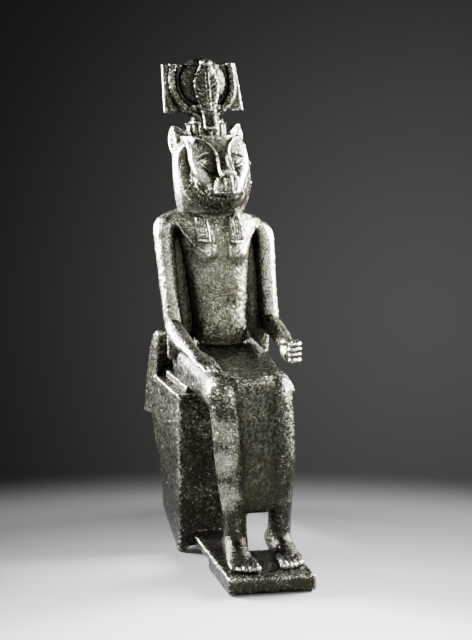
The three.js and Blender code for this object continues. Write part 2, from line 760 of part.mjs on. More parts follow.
// The cobra rears in front of the disc: a broad ribbed hood, a narrow neck and a small flat head.
function cobra() {
  const y = [8.8, 10.4, 11.8, 12.2, 12.2, 12.4, 12];
  const rows = [
    // height over the crown, half width, half thickness
    [3.6, 3.2, 1.6],
    [7.2, 2.9, 1.5],
    [11.2, 3.2, 1.3],
    [16.2, 4.6, 1.2],
    [21.6, 5.4, 1.2],
    [26.2, 4.2, 1.3],
    [29.4, 2.4, 1.6],
  ];
  const up = new THREE.Vector3(0, 1, 0);
  const hood = limb(rows.map((s, i) => (
    [0, y[i] * unit, crownZ + s[0] * unit, s[1] * unit, s[2] * unit]
  )), 8, 1, up);
  const head = ball(0, 10.8 * unit, crownZ + 30.3 * unit, 2.8 * unit, 3 * unit, 1.7 * unit);
  const spine = bothSides(side => limb(rows.slice(0, 6).map((s, i) => (
    [side * 0.8 * unit, (y[i] - s[2]) * unit, crownZ + s[0] * unit, 0.45 * unit, 0.45 * unit]
  )), 3, 1, up));
  const ribs = 4;
  const chevrons = bothSides(side => Array.from({ length: ribs }, (_, i) => {
    const z = crownZ + (11.6 + 3.2 * i) * unit;
    const reach = (3 + 1.9 * Math.sin(Math.PI * (i + 1) / (ribs + 1))) * unit;
    return limb([
      [side * 1.2 * unit, 10.7 * unit, z, 0.4 * unit, 0.4 * unit],
      [side * reach, 11.4 * unit, z + 1.8 * unit, 0.4 * unit, 0.4 * unit],
    ], 3, 1, up);
  })).flat();
  const brace = slabXZ([
    [-2 * unit, crownZ + 17 * unit],
    [2 * unit, crownZ + 17 * unit],
    [1.6 * unit, crownZ + 28 * unit],
    [-1.6 * unit, crownZ + 28 * unit],
  ], 12 * unit, 17 * unit);
  return [hood, head, ...spine, ...chevrons, brace];
}

// Putting it together: everything is one casting.

const base = joined([...throne(), ...footplate()]);
const legs = joined([...bothSides(foot).flat(), ...bothSides(shin), ...dress(), thighs()]);
const body = joined([
  ...torso(),
  ...bothSides(upperArm),
  ...bothSides(lappet).flat(),
].map(drifted));
const arms = joined([...rightForearm(), ...leftForearm()]);
const head = joined([
  ruffAndWig(),
  ...maneLocks(),
  ...face(),
  ...modius(),
  ...backPlate(),
  ...bothSides(horn),
  sunDisc(),
  ...cobra(),
].map(tipped)).add(ear(-1)).add(ear(1));

const casting = base.add(legs).add(body).add(arms).add(head);

function meshOf(manifold, name, material) {
  const data = manifold.getMesh();
  const geometry = new THREE.BufferGeometry();
  geometry.setAttribute('position', new THREE.Float32BufferAttribute(Float32Array.from(data.vertProperties), 3));
  geometry.setIndex(Array.from(data.triVerts));
  geometry.computeVertexNormals();
  const mesh = new THREE.Mesh(geometry, material);
  mesh.name = name;
  return mesh;
}

const bronze = new THREE.MeshStandardMaterial({ color: 0x4a4a3c, roughness: 0.5, metalness: 0.85 });

const figurine = new THREE.Group();
const goddess = meshOf(casting, 'goddess_figurine', bronze);
goddess.position.y = plateReach - plateBlockDepth / 2;
figurine.add(goddess);

export default figurine;
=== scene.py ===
# %% [markdown]
# # A seated goddess in bronze
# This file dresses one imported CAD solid, a lioness-headed goddess on a throne, as the worn bronze casting
# that it is. The real figurine was modelled in wax, cast in one piece and then chased with small chisels.
# Box modelling would make such soft, fused shapes slowly, and a faceted solid can't show them at all. So
# the shapes are built the way wax is worked: lumps are added to a field of distances, blended where they
# meet, cut back, and only then turned into a mesh.

# %% Load the frame
import math
import bpy
import numpy as np
import openvdb
from mathutils import Matrix, Vector


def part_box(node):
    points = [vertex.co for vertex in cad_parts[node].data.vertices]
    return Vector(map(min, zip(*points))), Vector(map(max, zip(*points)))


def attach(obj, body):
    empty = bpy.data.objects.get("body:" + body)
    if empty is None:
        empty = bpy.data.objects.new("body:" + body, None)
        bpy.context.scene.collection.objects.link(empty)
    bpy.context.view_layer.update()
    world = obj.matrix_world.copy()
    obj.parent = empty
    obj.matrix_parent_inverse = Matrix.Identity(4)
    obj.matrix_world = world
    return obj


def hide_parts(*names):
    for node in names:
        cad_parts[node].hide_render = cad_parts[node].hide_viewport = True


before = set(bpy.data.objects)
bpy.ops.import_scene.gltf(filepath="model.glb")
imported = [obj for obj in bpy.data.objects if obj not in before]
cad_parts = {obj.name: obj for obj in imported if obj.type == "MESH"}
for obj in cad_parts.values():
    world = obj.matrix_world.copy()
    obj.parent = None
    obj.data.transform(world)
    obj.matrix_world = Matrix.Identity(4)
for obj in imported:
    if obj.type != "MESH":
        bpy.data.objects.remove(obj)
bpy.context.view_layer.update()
low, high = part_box("goddess_figurine")
print("figurine stands", round((high[2] - low[2]) * 1000, 1), "mm high")

# %% [markdown]
# ## Camera
# The photograph was taken from a little to the figure's right with a long lens, level with her face, and
# tilted down so that the upright edges draw together towards the ground. A camera that only looks at the
# object would miss that convergence, so its height, tilt and lens are set one by one.

# %% Place the camera
def placed(name, data):
    """A new object in the scene."""
    made = bpy.data.objects.new(name, data)
    bpy.context.scene.collection.objects.link(made)
    return made


camera_place, camera_side = (-0.14487, -0.46917, 0.1830), 16
picture_tall, focal_pixels, horizon_over_middle = 640, 1270, 198
camera_tilt = math.degrees(math.atan(horizon_over_middle / focal_pixels))
camera = bpy.data.cameras.new("camera")
camera.lens = camera.sensor_width * focal_pixels / picture_tall
camera.clip_start, camera.clip_end = 0.01, 20
camera_object = placed("camera", camera)
camera_object.location = camera_place
camera_object.rotation_euler = (math.radians(90 - camera_tilt), 0, -math.radians(camera_side))
bpy.context.scene.camera = camera_object
print("lens", round(camera.lens, 1), "mm, tilted down", round(camera_tilt, 1), "degrees")

# %% [markdown]
# ## Sizes
# Shapes are worked out in millimetres in the maker's own frame: the origin is on the ground under the
# middle of the throne's front edge. One number carries them into the part's frame, where the origin is
# the middle of the footplate's underside. Heights on the body are counted up from the seat.

# %% Name the sizes
frame_shift = 42.15
throne_wide, throne_wall = 48.0, 3.0
seat_high, seat_thick, seat_deep = 69.0, 4.0, 44.0
back_high, back_flare, back_drop, back_lean, back_top = 21.0, 24.0, 21.5, 4.5, 5.0
plate_wide, plate_thick, plate_reach, plate_deep = 35.0, 7.5, 58.3, 32.3
bridge_wide, bridge_thick = 14.5, 3.0
waist_z, shoulder_z, neck_z = seat_high + 28, seat_high + 73, seat_high + 76
lap_z = seat_high + 15
hem_z = plate_thick + 0.29 * (seat_high - plate_thick)
crown_z = seat_high + 108
shin_y = -29.5
body_drift, shoulder_dip = 0.076, 0.07
head_tip, head_drift, head_turn = math.radians(1.8), 0.042, math.radians(2.5)
neck_y, turn_starts, turn_full = 17, 20, 8
print("seat at", seat_high, "mm, crown at", crown_z, "mm")

# %% [markdown]
# ## Wax in numbers
# `Wax` holds the distance from every point of a small grid to the surface, negative inside. Adding a lump
# keeps the smaller distance, with a soft minimum where two lumps should flow together; a cut does the
# opposite. Metaballs would do something alike, but they can't be cut, and a boolean of meshes has no soft
# joint. Each lump is only worked out in its own corner of the grid, which keeps this quick.

# %% Grid of distances
far, room = 6.0, 2.5


def soft_least(a, b, blend):
    if blend <= 0:
        return np.minimum(a, b)
    near = np.maximum(blend - np.abs(a - b), 0)
    return np.minimum(a, b) - near * near / (4 * blend)


class Wax:
    def __init__(self, start, end, step):
        self.start, self.step = np.array(start, float), step
        counts = [math.ceil((b - a) / step) + 1 for a, b in zip(start, end)]
        self.lines = [(a + step * np.arange(n)).astype(np.float32) for a, n in zip(start, counts)]
        self.field = np.full(counts, far, np.float32)

    def window(self, start, end, margin):
        cut = []
        for line, a, b in zip(self.lines, start, end):
            cut.append(slice(int(np.searchsorted(line, a - margin)),
                int(np.searchsorted(line, b + margin))))
        x, y, z = (line[c] for line, c in zip(self.lines, cut))
        return tuple(cut), x[:, None, None], y[None, :, None], z[None, None, :]

    def apply(self, form, blend, join):
        distance, start, end = form
        cut, x, y, z = self.window(start, end, room + blend)
        if all(c.stop > c.start for c in cut):
            self.field[cut] = join(self.field[cut], distance(x, y, z).astype(np.float32), blend)

    def add(self, form, blend=0.0):
        self.apply(form, blend, soft_least)

    def cut(self, form, blend=0.0):
        self.apply(form, blend, lambda a, b, k: -soft_least(-a, b, k))

    def raise_in(self, form, height, blend=0.0):
        """Lifts the surface by that height inside the form."""
        self.apply(form, blend, lambda a, b, k: soft_least(a, np.maximum(a - height, b), k))

    def sink_in(self, form, depth, blend=0.0):
        """Lowers the surface by that depth inside the form."""
        self.apply(form, blend, lambda a, b, k: -soft_least(-a, np.maximum(-a - depth, b), k))

    def carve(self, start, end, change):
        cut, x, y, z = self.window(start, end, 0)
        self.field[cut] += change(x, y, z).astype(np.float32)


# %% [markdown]
# ## Lumps
# Every lump is a distance function with the two corners of the room it needs. A limb is a chain of tapered
# segments with an oval section, a stack is a pile of level rings between oval and box, a slab is a drawn
# outline with a thickness, and a ball is an ellipsoid.

# %% Forms
def smooth_table(rows, steps=6):
    """The rows with more rows between them, on a smooth curve through the given ones."""
    rows = np.array(rows, float)
    padded = np.vstack([2 * rows[0] - rows[1], rows, 2 * rows[-1] - rows[-2]])
    made = []
    for i in range(len(rows) - 1):
        p0, p1, p2, p3 = padded[i:i + 4]
        for t in np.linspace(0, 1, steps, endpoint=False):
            bend, twist = 2 * p0 - 5 * p1 + 4 * p2 - p3, 3 * p1 - p0 - 3 * p2 + p3
            made.append(0.5 * (2 * p1 + (p2 - p0) * t + bend * t ** 2 + twist * t ** 3))
    return np.vstack(made + [rows[-1]])


def ball(centre, radii):
    cx, cy, cz = centre
    a, b, c = radii

    def distance(x, y, z):
        u, v, w = x - cx, y - cy, z - cz
        k0 = np.sqrt((u / a) ** 2 + (v / b) ** 2 + (w / c) ** 2)
        k1 = np.sqrt((u / a ** 2) ** 2 + (v / b ** 2) ** 2 + (w / c ** 2) ** 2)
        return k0 * (k0 - 1) / np.maximum(k1, 1e-6)
    return distance, [cx - a, cy - b, cz - c], [cx + a, cy + b, cz + c]


deep_in_y = (0, 1, 0)


def limb(stations, steps=4, up=(0, 0, 1)):
    """Stations are x, y, z, half width and half thickness. Thickness runs along up: z, or y for deep_in_y."""
    rows = smooth_table(stations, steps) if len(stations) > 2 else np.array(stations, float)
    reach = rows[:, 3:].max()
    start, end = rows[:, :3].min(0) - reach, rows[:, :3].max(0) + reach
    up = np.array(up, float)

    def distance(x, y, z):
        best = np.full(np.broadcast_shapes(x.shape, y.shape, z.shape), far, np.float32)
        for p, q in zip(rows[:-1], rows[1:]):
            along = q[:3] - p[:3]
            length = np.linalg.norm(along)
            if length < 1e-6:
                continue
            along /= length
            across = np.cross(up, along)
            across /= np.linalg.norm(across)
            out = np.cross(along, across)
            border = max(p[3], p[4], q[3], q[4]) + 3
            cut = []
            for line, a, b in zip((x.ravel(), y.ravel(), z.ravel()), p[:3], q[:3]):
                cut.append(slice(int(np.searchsorted(line, min(a, b) - border)),
                    int(np.searchsorted(line, max(a, b) + border))))
            if any(c.stop <= c.start for c in cut):
                continue
            dx, dy, dz = x[cut[0], :, :] - p[0], y[:, cut[1], :] - p[1], z[:, :, cut[2]] - p[2]
            u, v, w = (dx * way[0] + dy * way[1] + dz * way[2] for way in (across, out, along))
            t = np.clip(w / length, 0, 1)
            w = w - t * length
            wide, thick = p[3] + (q[3] - p[3]) * t, p[4] + (q[4] - p[4]) * t
            least = np.minimum(wide, thick)
            k0 = np.sqrt((u / wide) ** 2 + (v / thick) ** 2 + (w / least) ** 2)
            k1 = np.sqrt((u / wide ** 2) ** 2 + (v / thick ** 2) ** 2 + (w / least ** 2) ** 2)
            best[tuple(cut)] = np.minimum(best[tuple(cut)], k0 * (k0 - 1) / np.maximum(k1, 1e-6))
        return best
    return distance, start, end


def stack(rows, power=2.4, upright=True):
    """Rows are height, middle x, middle y, half width, half depth. Lying down, height runs along y."""
    table = smooth_table(rows, 8)
    table = table[np.argsort(table[:, 0])]
    level, mx, my, hw, hd = table.T

    def distance(x, y, z):
        along, other = (z, y) if upright else (y, z)
        flat = along.ravel()
        cx, cy, a, b = (np.interp(flat, level, v).reshape(along.shape) for v in (mx, my, hw, hd))
        a, b = np.maximum(a, 0.3), np.maximum(b, 0.3)
        size = (np.abs((x - cx) / a) ** power + np.abs((other - cy) / b) ** power) ** (1 / power)
        side = (size - 1) * np.minimum(a, b)
        return np.maximum(side, np.maximum(level[0] - along, along - level[-1]))
    wide, deep = np.abs(hw).max(), np.abs(hd).max()
    start, end = [mx.min() - wide, my.min() - deep], [mx.max() + wide, my.max() + deep]
    start.insert(2 if upright else 1, level[0])
    end.insert(2 if upright else 1, level[-1])
    return distance, start, end


def rectangle(left, right, lower, upper):
    return [(left, lower), (right, lower), (right, upper), (left, upper)]


def slab(outline, axis, near, back, soft=0.5):
    """An outline in the plane square to the axis, 0 for x, 1 for y or 2 for z, between two places on it."""
    points = np.array(outline, float)

    def distance(x, y, z):
        s, h, t = ((y, z, x), (x, z, y), (x, y, z))[axis]
        shape = np.broadcast_shapes(s.shape, h.shape)
        best = np.full(shape, 1e9)
        inside = np.zeros(shape, bool)
        for p, q in zip(points, np.roll(points, -1, axis=0)):
            e = q - p
            w0, w1 = s - p[0], h - p[1]
            k = np.clip((w0 * e[0] + w1 * e[1]) / (e @ e), 0, 1)
            best = np.minimum(best, (w0 - k * e[0]) ** 2 + (w1 - k * e[1]) ** 2)
            if p[1] != q[1]:
                crossing = (p[1] > h) != (q[1] > h)
                inside ^= crossing & (s < (q[0] - p[0]) * (h - p[1]) / (q[1] - p[1]) + p[0])
        flat = np.where(inside, -1, 1) * np.sqrt(best) + soft
        deep = np.abs(t - (near + back) / 2) - (back - near) / 2 + soft
        outside = np.hypot(np.maximum(flat, 0), np.maximum(deep, 0))
        return np.minimum(np.maximum(flat, deep), 0) + outside - soft
    start, end = list(points.min(0)), list(points.max(0))
    start.insert(axis, near)
    end.insert(axis, back)
    return distance, start, end


def moved(form, bend, start, end):
    """The same form in a bent or turned space: bend takes the grid's places to the form's own."""
    distance = form[0]
    return (lambda x, y, z: distance(*bend(x, y, z))), start, end


# %% [markdown]
# ## From wax to mesh
# The surface is drawn where the distance is nought, with quads a voxel wide. Two numbers are kept at each
# vertex for the bronze to read later: how far the surface bulges, so that edges can wear bright, and how
# deep it lies, so that hollows can be painted dark, partly as dark patina and partly as painted shade. They
# come from comparing the field with blurred copies.

# %% Mesh and surface readings
def blurred(field, reach):
    """Mean over a cube of that half width in voxels, run twice for a rounder result."""
    for axis in (0, 1, 2, 0, 1, 2):
        padded = np.pad(field, [(reach + 1, reach) if a == axis else (0, 0) for a in range(3)], mode="edge")
        total = np.cumsum(padded, axis=axis, dtype=np.float32)
        n = field.shape[axis]
        upper = np.take(total, range(2 * reach + 1, 2 * reach + 1 + n), axis=axis)
        lower = np.take(total, range(0, n), axis=axis)
        field = (upper - lower) / (2 * reach + 1)
    return field


def sampled(field, points):
    """The field's value between grid points."""
    base = np.clip(np.floor(points).astype(int), 0, np.array(field.shape) - 2)
    share = points - base
    value = np.zeros(len(points))
    for corner in np.ndindex(2, 2, 2):
        weight = np.prod([share[:, a] if corner[a] else 1 - share[:, a] for a in range(3)], axis=0)
        value += weight * field[base[:, 0] + corner[0], base[:, 1] + corner[1], base[:, 2] + corner[2]]
    return value


def place_in_frame(points):
    """From the maker's millimetres to the part's metres."""
    return (points + np.array([0, frame_shift, 0])) * 0.001


edge_reach, hollow_reach = 0.5, 1.8


def mesh_of(wax, name, bend, adaptivity):
    grid = openvdb.FloatGrid(3 * wax.step)
    grid.copyFromArray(np.clip(wax.field, -3 * wax.step, 3 * wax.step))
    points, thirds, quads = grid.convertToPolygons(isovalue=0.0, adaptivity=adaptivity)
    clipped = np.clip(wax.field, -far / 2, far / 2)
    edge = sampled(blurred(clipped, max(1, round(edge_reach / wax.step))), points) / edge_reach
    hollow = sampled(blurred(clipped, max(2, round(hollow_reach / wax.step))), points) / hollow_reach
    mesh = bpy.data.meshes.new(name)
    faces = [list(map(int, f)) for f in quads] + [list(map(int, f)) for f in thirds]
    mesh.from_pydata(place_in_frame(bend(points * wax.step + wax.start)).tolist(), [], faces)
    mesh.update()
    for label, values in (("bulge", edge), ("open", hollow)):
        layer = mesh.attributes.new(label, "FLOAT", "POINT")
        layer.data.foreach_set("value", values.astype(np.float32))
    mesh.polygons.foreach_set("use_smooth", [True] * len(mesh.polygons))
    print(name, "has", len(faces), "faces round", round(signed_volume(mesh) * 1e6, 1), "cubic centimetres")
    return placed(name, mesh)


def corners_of(mesh):
    spots = np.zeros(len(mesh.vertices) * 3)
    mesh.vertices.foreach_get("co", spots)
    return spots.reshape(-1, 3)


def signed_volume(mesh):
    """Comes out negative if the faces look inwards."""
    mesh.calc_loop_triangles()
    thirds = np.zeros(len(mesh.loop_triangles) * 3, int)
    mesh.loop_triangles.foreach_get("vertices", thirds)
    a, b, c = corners_of(mesh)[thirds.reshape(-1, 3)].transpose(1, 0, 2)
    return float(np.einsum("ij,ij->i", a, np.cross(b, c)).sum() / 6)


def straight(points):
    return points


def drifted(points):
    """The body's drift to her right, and the dip of one shoulder."""
    p = points.copy()
    rise = np.maximum(0, p[:, 2] - waist_z)
    reach = np.clip(rise / (shoulder_z - waist_z), 0, 1)
    p[:, 2] -= shoulder_dip * reach * points[:, 0]
    p[:, 0] -= body_drift * rise
    return p


def tipped(points):
    """The head's tilt about the neck, and its further drift."""
    p = points.copy()
    p[:, 2] -= neck_z
    c, s = math.cos(head_tip), math.sin(head_tip)
    x, z = p[:, 0] * c - p[:, 2] * s, p[:, 0] * s + p[:, 2] * c
    p[:, 0] = x - head_drift * z - body_drift * (neck_z - waist_z)
    p[:, 2] = z + neck_z
    return p


def turned_head(points):
    """The head looks a little to her left, so it turns about the neck before it tips."""
    p = points.copy()
    c, s = math.cos(head_turn), math.sin(head_turn)
    share = np.clip((turn_starts - p[:, 1]) / (turn_starts - turn_full), 0, 1)
    x, y = points[:, 0], points[:, 1] - neck_y
    p[:, 0] = points[:, 0] + share * ((c - 1) * x - s * y)
    p[:, 1] = points[:, 1] + share * (s * x + (c - 1) * y)
    return tipped(p)


# %% [markdown]
# ## Old metal
# Two thousand years in the ground leave a casting with soft swellings and pits. Lattices of random heights,
# read smoothly between their points, shake the surface a little before it becomes a mesh; the finest grain
# is left to the shader.

# %% Swellings and pits
def lumps(size, seed):
    """Smooth random heights from -1 to 1 with lumps of about that size in millimetres."""
    def distance(x, y, z):
        picks, counts = [], []
        for line in (x.ravel(), y.ravel(), z.ravel()):
            place = line / size
            base = np.floor(place)
            t = place - base
            t = t * t * (3 - 2 * t)
            first = int(base.min())
            counts.append(int(base.max()) - first + 2)
            matrix = np.zeros((len(line), counts[-1]), np.float32)
            rows, cells = np.arange(len(line)), (base - first).astype(int)
            matrix[rows, cells] = 1 - t
            matrix[rows, cells + 1] = t
            picks.append(matrix)
        lattice = np.random.RandomState(seed).uniform(-1, 1, counts).astype(np.float32)
        return np.einsum("ai,bj,ck,ijk->abc", *picks, lattice, optimize=True)
    return distance


pit_starts = 0.62


def weather(wax, low_corner, high_corner, seed, swell, grain, pits):
    """Swells, roughens and pits the surface between two corners."""
    def change(x, y, z):
        soft = lumps(7, seed)(x, y, z) * swell + lumps(2.2, seed + 1)(x, y, z) * grain
        dents = np.maximum(lumps(1.5, seed + 2)(x, y, z) - pit_starts, 0) * pits / (1 - pit_starts)
        return soft + dents
    wax.carve(low_corner, high_corner, change)


# %% [markdown]
# ## Throne and footplate
# The throne is a thin hollow box, open below and behind, with a low leaning backrest whose back slopes out
# to a panel. Its lower edges are broken in steps and her left side has lost the lower front, so each wall
# is a drawn outline with a thickness. Worn corners come from rounding each slab, and the whole is shaken a
# little so that no face stays dead flat.

# %% Throne outlines
half = throne_wide / 2
inner = half - throne_wall
seat_under = seat_high - seat_thick
back_top_z = seat_high + back_high
panel_y = seat_deep + back_flare
panel_foot = seat_high - back_drop
bend_low = (seat_deep + 0.62 * back_flare, seat_high)
bend_mid = (seat_deep + 0.79 * back_flare, seat_high - 0.27 * back_drop)


def of_seat(rows):
    """Shares of the seat's depth and height, as millimetres."""
    return [(y * seat_deep, z * seat_high) for y, z in rows]


right_wall = [(0, seat_high), (0, 0), (throne_wall, 0)] + of_seat([(0.17, 0.03), (0.33, 0.065),
    (0.53, 0.125), (0.7, 0.18), (0.73, 0.31), (0.81, 0.42), (0.81, 0.49), (0.99, 0.535),
    (1.08, 0.62)]) + [(1.19 * seat_deep, panel_foot + 2), (panel_y, panel_foot), bend_mid, bend_low]
left_wall = of_seat([(0, 1), (0, 0.27), (0.25, 0.21), (0.5, 0.15), (0.8, 0.1), (1.08, 0.02), (1.12, 0),
    (1.36, 0), (1.42, 0.2), (1.52, 0.45)]) + [(panel_y, panel_foot), bend_mid, bend_low]
under = plate_thick - bridge_thick
front_wall = [(-half, 0), (-half + throne_wall, 0), (-half + throne_wall + 1.5, 1.8),
    (-plate_wide / 2, under - 2), (-plate_wide / 2 + bridge_wide, under - 2), (0, 0.14 * seat_high),
    (0.12 * half, 0.25 * seat_high), (0.35 * half, 0.28 * seat_high), (0.7 * half, 0.28 * seat_high),
    (half, 0.27 * seat_high), (half, seat_high), (-half, seat_high)]
backrest = [(seat_deep, seat_under), (seat_deep, seat_high), (seat_deep - back_lean, back_top_z - 1),
    (seat_deep - back_lean + 1, back_top_z), (seat_deep - back_lean + back_top, back_top_z - 0.5),
    (seat_deep + 0.4 * back_flare, seat_high + 0.6 * back_high),
    (seat_deep + 0.62 * back_flare, seat_high + 0.12 * back_high),
    (seat_deep + 0.78 * back_flare, seat_under)]
panel = [bend_low, bend_mid, (panel_y, panel_foot), (panel_y - throne_wall, panel_foot),
    (seat_deep + 0.62 * back_flare - throne_wall, seat_under)]
left_corner = [(-inner, panel_foot + 1), (-0.3 * inner, panel_foot - 6), (0.3 * inner, panel_foot - 11),
    (0.7 * inner, panel_foot - 22), (inner + 1, panel_foot - 26), (inner + 1, panel_foot + 1)]
print("throne walls", throne_wall, "mm thick, seat", seat_high, "mm high")

# %% Build the throne
throne_wax = Wax((-26, -61, -1), (26, 70, 92), 0.5)
seat_board = rectangle(0, seat_deep + 14, seat_under, seat_high)
cushion = rectangle(4, seat_deep + 1, seat_under + 1, seat_high + 2.8)
for outline, axis, near, back, soft, blend in ((right_wall, 0, -half, -inner, 0.6, 0),
        (left_wall, 0, inner, half, 0.6, 0), (front_wall, 1, 0, throne_wall, 0.6, 0),
        (seat_board, 0, -half, half, 0.5, 0), (backrest, 0, -half, half, 0.8, 0.8),
        (panel, 0, -half, half, 0.5, 0.5), (cushion, 0, -half + 4.6, half - 4.6, 0.7, 0.8)):
    throne_wax.add(slab(outline, axis, near, back, soft), blend)


def lean_out(x, y, z):
    return x, y + 0.19 * np.maximum(0, panel_foot - z), z


throne_wax.add(moved(slab(left_corner, 1, panel_y - throne_wall, panel_y - 0.2, 0.5), lean_out,
    [-inner, panel_y - 10, panel_foot - 26], [inner + 1, panel_y, panel_foot + 1]))
print("throne's wax has", throne_wax.field.size, "grid points")

# %% Build the footplate
block_back = -plate_reach + plate_deep
block = [(-plate_wide / 2, -plate_reach + 2), (plate_wide / 2, -plate_reach - 2),
    (plate_wide / 2, block_back), (-plate_wide / 2, block_back)]
bridge = [(block_back - 4, plate_thick), (block_back - 4, under), (0.5 * block_back, under - 0.4),
    (0.2 * block_back, under - 1.3), (throne_wall / 2, under - 2), (throne_wall / 2, plate_thick + 1.5),
    (0.15 * block_back, plate_thick)]
throne_wax.add(slab(block, 2, 0, plate_thick, 1.6))
throne_wax.add(slab(bridge, 0, -plate_wide / 2 + 0.2, -plate_wide / 2 + bridge_wide, 0.5), 1.2)
weather(throne_wax, (-30, -70, 0.9), (30, 75, 95), 11, swell=0.16, grain=0.1, pits=0.35)
throne = mesh_of(throne_wax, "throne_and_footplate", straight, 0.004)

# %% [markdown]
# ## The seated body
# Legs, dress, lap, torso and arms flow into each other, as they did in the wax, so they share one field and
# every joint between them is a soft one. The stations are half widths and half depths read off the front
# and side outlines. The hands and feet get a limb for each finger and toe.

# %% Feet and legs
def over_seat(rows):
    """The same stations, with their heights counted up from the seat."""
    return [(x, y, seat_high + z, *rest) for x, y, z, *rest in rows]


body_wax = Wax((-30, -60, 5.5), (30, 44, 150), 0.45)
foot_x, ankle_x, foot_back = {-1: -9.2, 1: 11.3}, {-1: -7.5, 1: 11.1}, {-1: 0, 1: 0.6}
knee_x, calf_x = {-1: -13.4, 1: 9.5}, {-1: -10.6, 1: 11.4}
for side in (-1, 1):
    x, ax, heel, z = foot_x[side], ankle_x[side], shin_y + foot_back[side], plate_thick
    body_wax.add(limb([(ax, heel + 7.4, z + 3, 3.2, 3), (ax, heel + 2, z + 4.4, 4.5, 5.4),
        ((ax + x) / 2, heel - 7, z + 3.2, 4.9, 4.6), (x, heel - 15, z + 1.7, 5.3, 2.9),
        (x, heel - 19.5, z + 1, 5.2, 1.8)]), 1)
    for toe in range(5):
        share = toe / 4
        thick = 1.75 - 0.7 * share
        tx, tip = x + side * (share - 0.5) * 8.8, heel - 25 + 4.5 * share ** 2
        body_wax.add(limb([(tx, heel - 16, z + 2, thick, thick),
            (tx, tip + 2 * thick, z + 1.15 * thick, thick * 0.9, thick * 0.85),
            (tx, tip + thick, z + 0.8 * thick, thick * 1.05, thick * 0.9)]), 0.35)
    knee, calf = knee_x[side], calf_x[side]
    shin = [(ax, -0.5, 2.6, 0.04), (ax, 0.2, 4.6, 0.12), (ax * 1.03, 0.2, 4.7, 0.28),
        ((ax + calf) / 2, -0.6, 5.3, 0.45), (calf, -1.4, 5.7, 0.66), ((calf + knee) / 2, -1.8, 5.8, 0.9)]
    rows = [(lx, y, r, plate_thick + share * (seat_high - plate_thick)) for lx, y, r, share in shin]
    rows += [(knee, -1.6, 5.7, lap_z - 9), (knee, 1.6, 4.8, lap_z - 5.4)]
    body_wax.add(limb([(lx, shin_y + y - 2.2, lz, r, 1.15 * r) for lx, y, r, lz in rows], 3, deep_in_y), 3)
print("feet at", foot_x[-1], "and", foot_x[1], "mm across")

# %% Dress and lap
skirt = [(hem_z, 1.8, -29, 8.8, 4), (hem_z + 1.6, 1.7, -29.3, 9.7, 6.8), (hem_z + 9, 1, -29.2, 11, 8.2),
    (hem_z + 23, 0.3, -28.7, 12.3, 8.7), (hem_z + 38, -1.2, -28.5, 12.8, 9.5),
    (lap_z - 6, -1.8, -26.3, 13.2, 12.3), (lap_z - 1.4, -2, -24.8, 12.4, 12)]
body_wax.add(stack(skirt, 3.4), 1.6)
lap = stack([(-35.6, -1.6, 8.6, 15.6, 3), (-31, -1.6, 6.9, 17.4, 7.2), (-16, -1.2, 7.2, 17.8, 9),
    (0, -0.7, 8.5, 18.9, 9.5), (16, -0.2, 9.2, 19.4, 10.2), (30, 0, 8.8, 18.6, 9.8),
    (38, 0, 7.5, 15.5, 7.5), (41, 0, 6.5, 10, 3.5)], 3.2, False)


def on_seat(x, y, z):
    return x, y, z - seat_high


body_wax.add(moved(lap, on_seat, [-21, -35, seat_high - 3], [21, 41, seat_high + 20]), 2.5)
between_thighs = [(-2, -30, 17.8, 5, 2), (-1.5, -14, 19, 6, 2), (-1, 0, 20.6, 6, 2)]
body_wax.cut(limb(over_seat(between_thighs)), 3)
print("hem at", round(hem_z, 1), "mm, lap at", lap_z, "mm")

# %% Torso
torso_rows = [(2, 17, 15, 21), (10, 16.5, 13.5, 21), (20, 13.6, 11.3, 20), (28, 12.2, 10.2, 19.4),
    (38, 12.6, 10, 19), (54, 13.9, 10.8, 18.4), (61, 15, 11, 18.2), (67, 17, 10.4, 18.4),
    (71.5, 20, 8.8, 18.6), (75, 18, 7.4, 19), (77.5, 12, 6.5, 19.5)]
straps = ([(18, 12, 71), (15, 9, 66.4), (12, 7, 62.6), (8.6, 6, 59.6), (6, 6, 57.4)],
    [(3.6, 7, 68), (3.4, 7, 62.5), (3.5, 7, 57.8)])


def line_on(side, places, half_wide, half_deep=4, steps=4):
    """A thin limb along some places on one side, their heights counted up from the seat."""
    return limb([(side * x, y, seat_high + z, half_wide, half_deep) for x, y, z in places], steps,
        deep_in_y)


body_wax.add(stack([(seat_high + z, 0, y, w, d) for z, w, d, y in torso_rows]), 2)
body_wax.add(ball((0, 12, waist_z - 3), (9, 3.2, 10)), 3)
for side in (-1, 1):
    body_wax.add(ball((side * 7.2, 10.4, seat_high + 59.4), (4, 4, 4)), 2.4)
    flank = [(17, 22, seat_high + 13), (17.4, 22, waist_z), (18, 22, shoulder_z - 6)]
    body_wax.add(limb([(side * x, y, z, 6, 2.2) for x, y, z in flank], 1, deep_in_y), 1)
    upper_arm = [(-4, 18.6, shoulder_z - 1.6, 3.6, 4.6), (-0.6, 18.3, shoulder_z - 5.5, 4.7, 6),
        (0, 17.8, shoulder_z - 12, 4.3, 5.9), (-0.2, 17, waist_z + 14, 3.9, 5.1),
        (-0.5, 16, waist_z + 2, 4, 5.1), (-0.8, 14.5, waist_z - 3, 3.4, 4.3)]
    body_wax.add(limb([(side * (22.2 + x), *rest) for x, *rest in upper_arm], 4, deep_in_y), 1.2)
    for strap in straps:
        body_wax.raise_in(line_on(side, strap, 0.45), 0.3, 0.15)
    lappet = rectangle(side * 4.7, side * 10.2, seat_high + 63.8, shoulder_z + 8)
    body_wax.raise_in(slab(lappet, 1, 2, 14, 0.3), 0.6, 0.3)
    lappet_hem = rectangle(side * 4.5, side * 10.4, seat_high + 63.6, seat_high + 64.9)
    body_wax.raise_in(slab(lappet_hem, 1, 2, 14, 0.2), 0.4, 0.1)
print("shoulders at", shoulder_z, "mm")

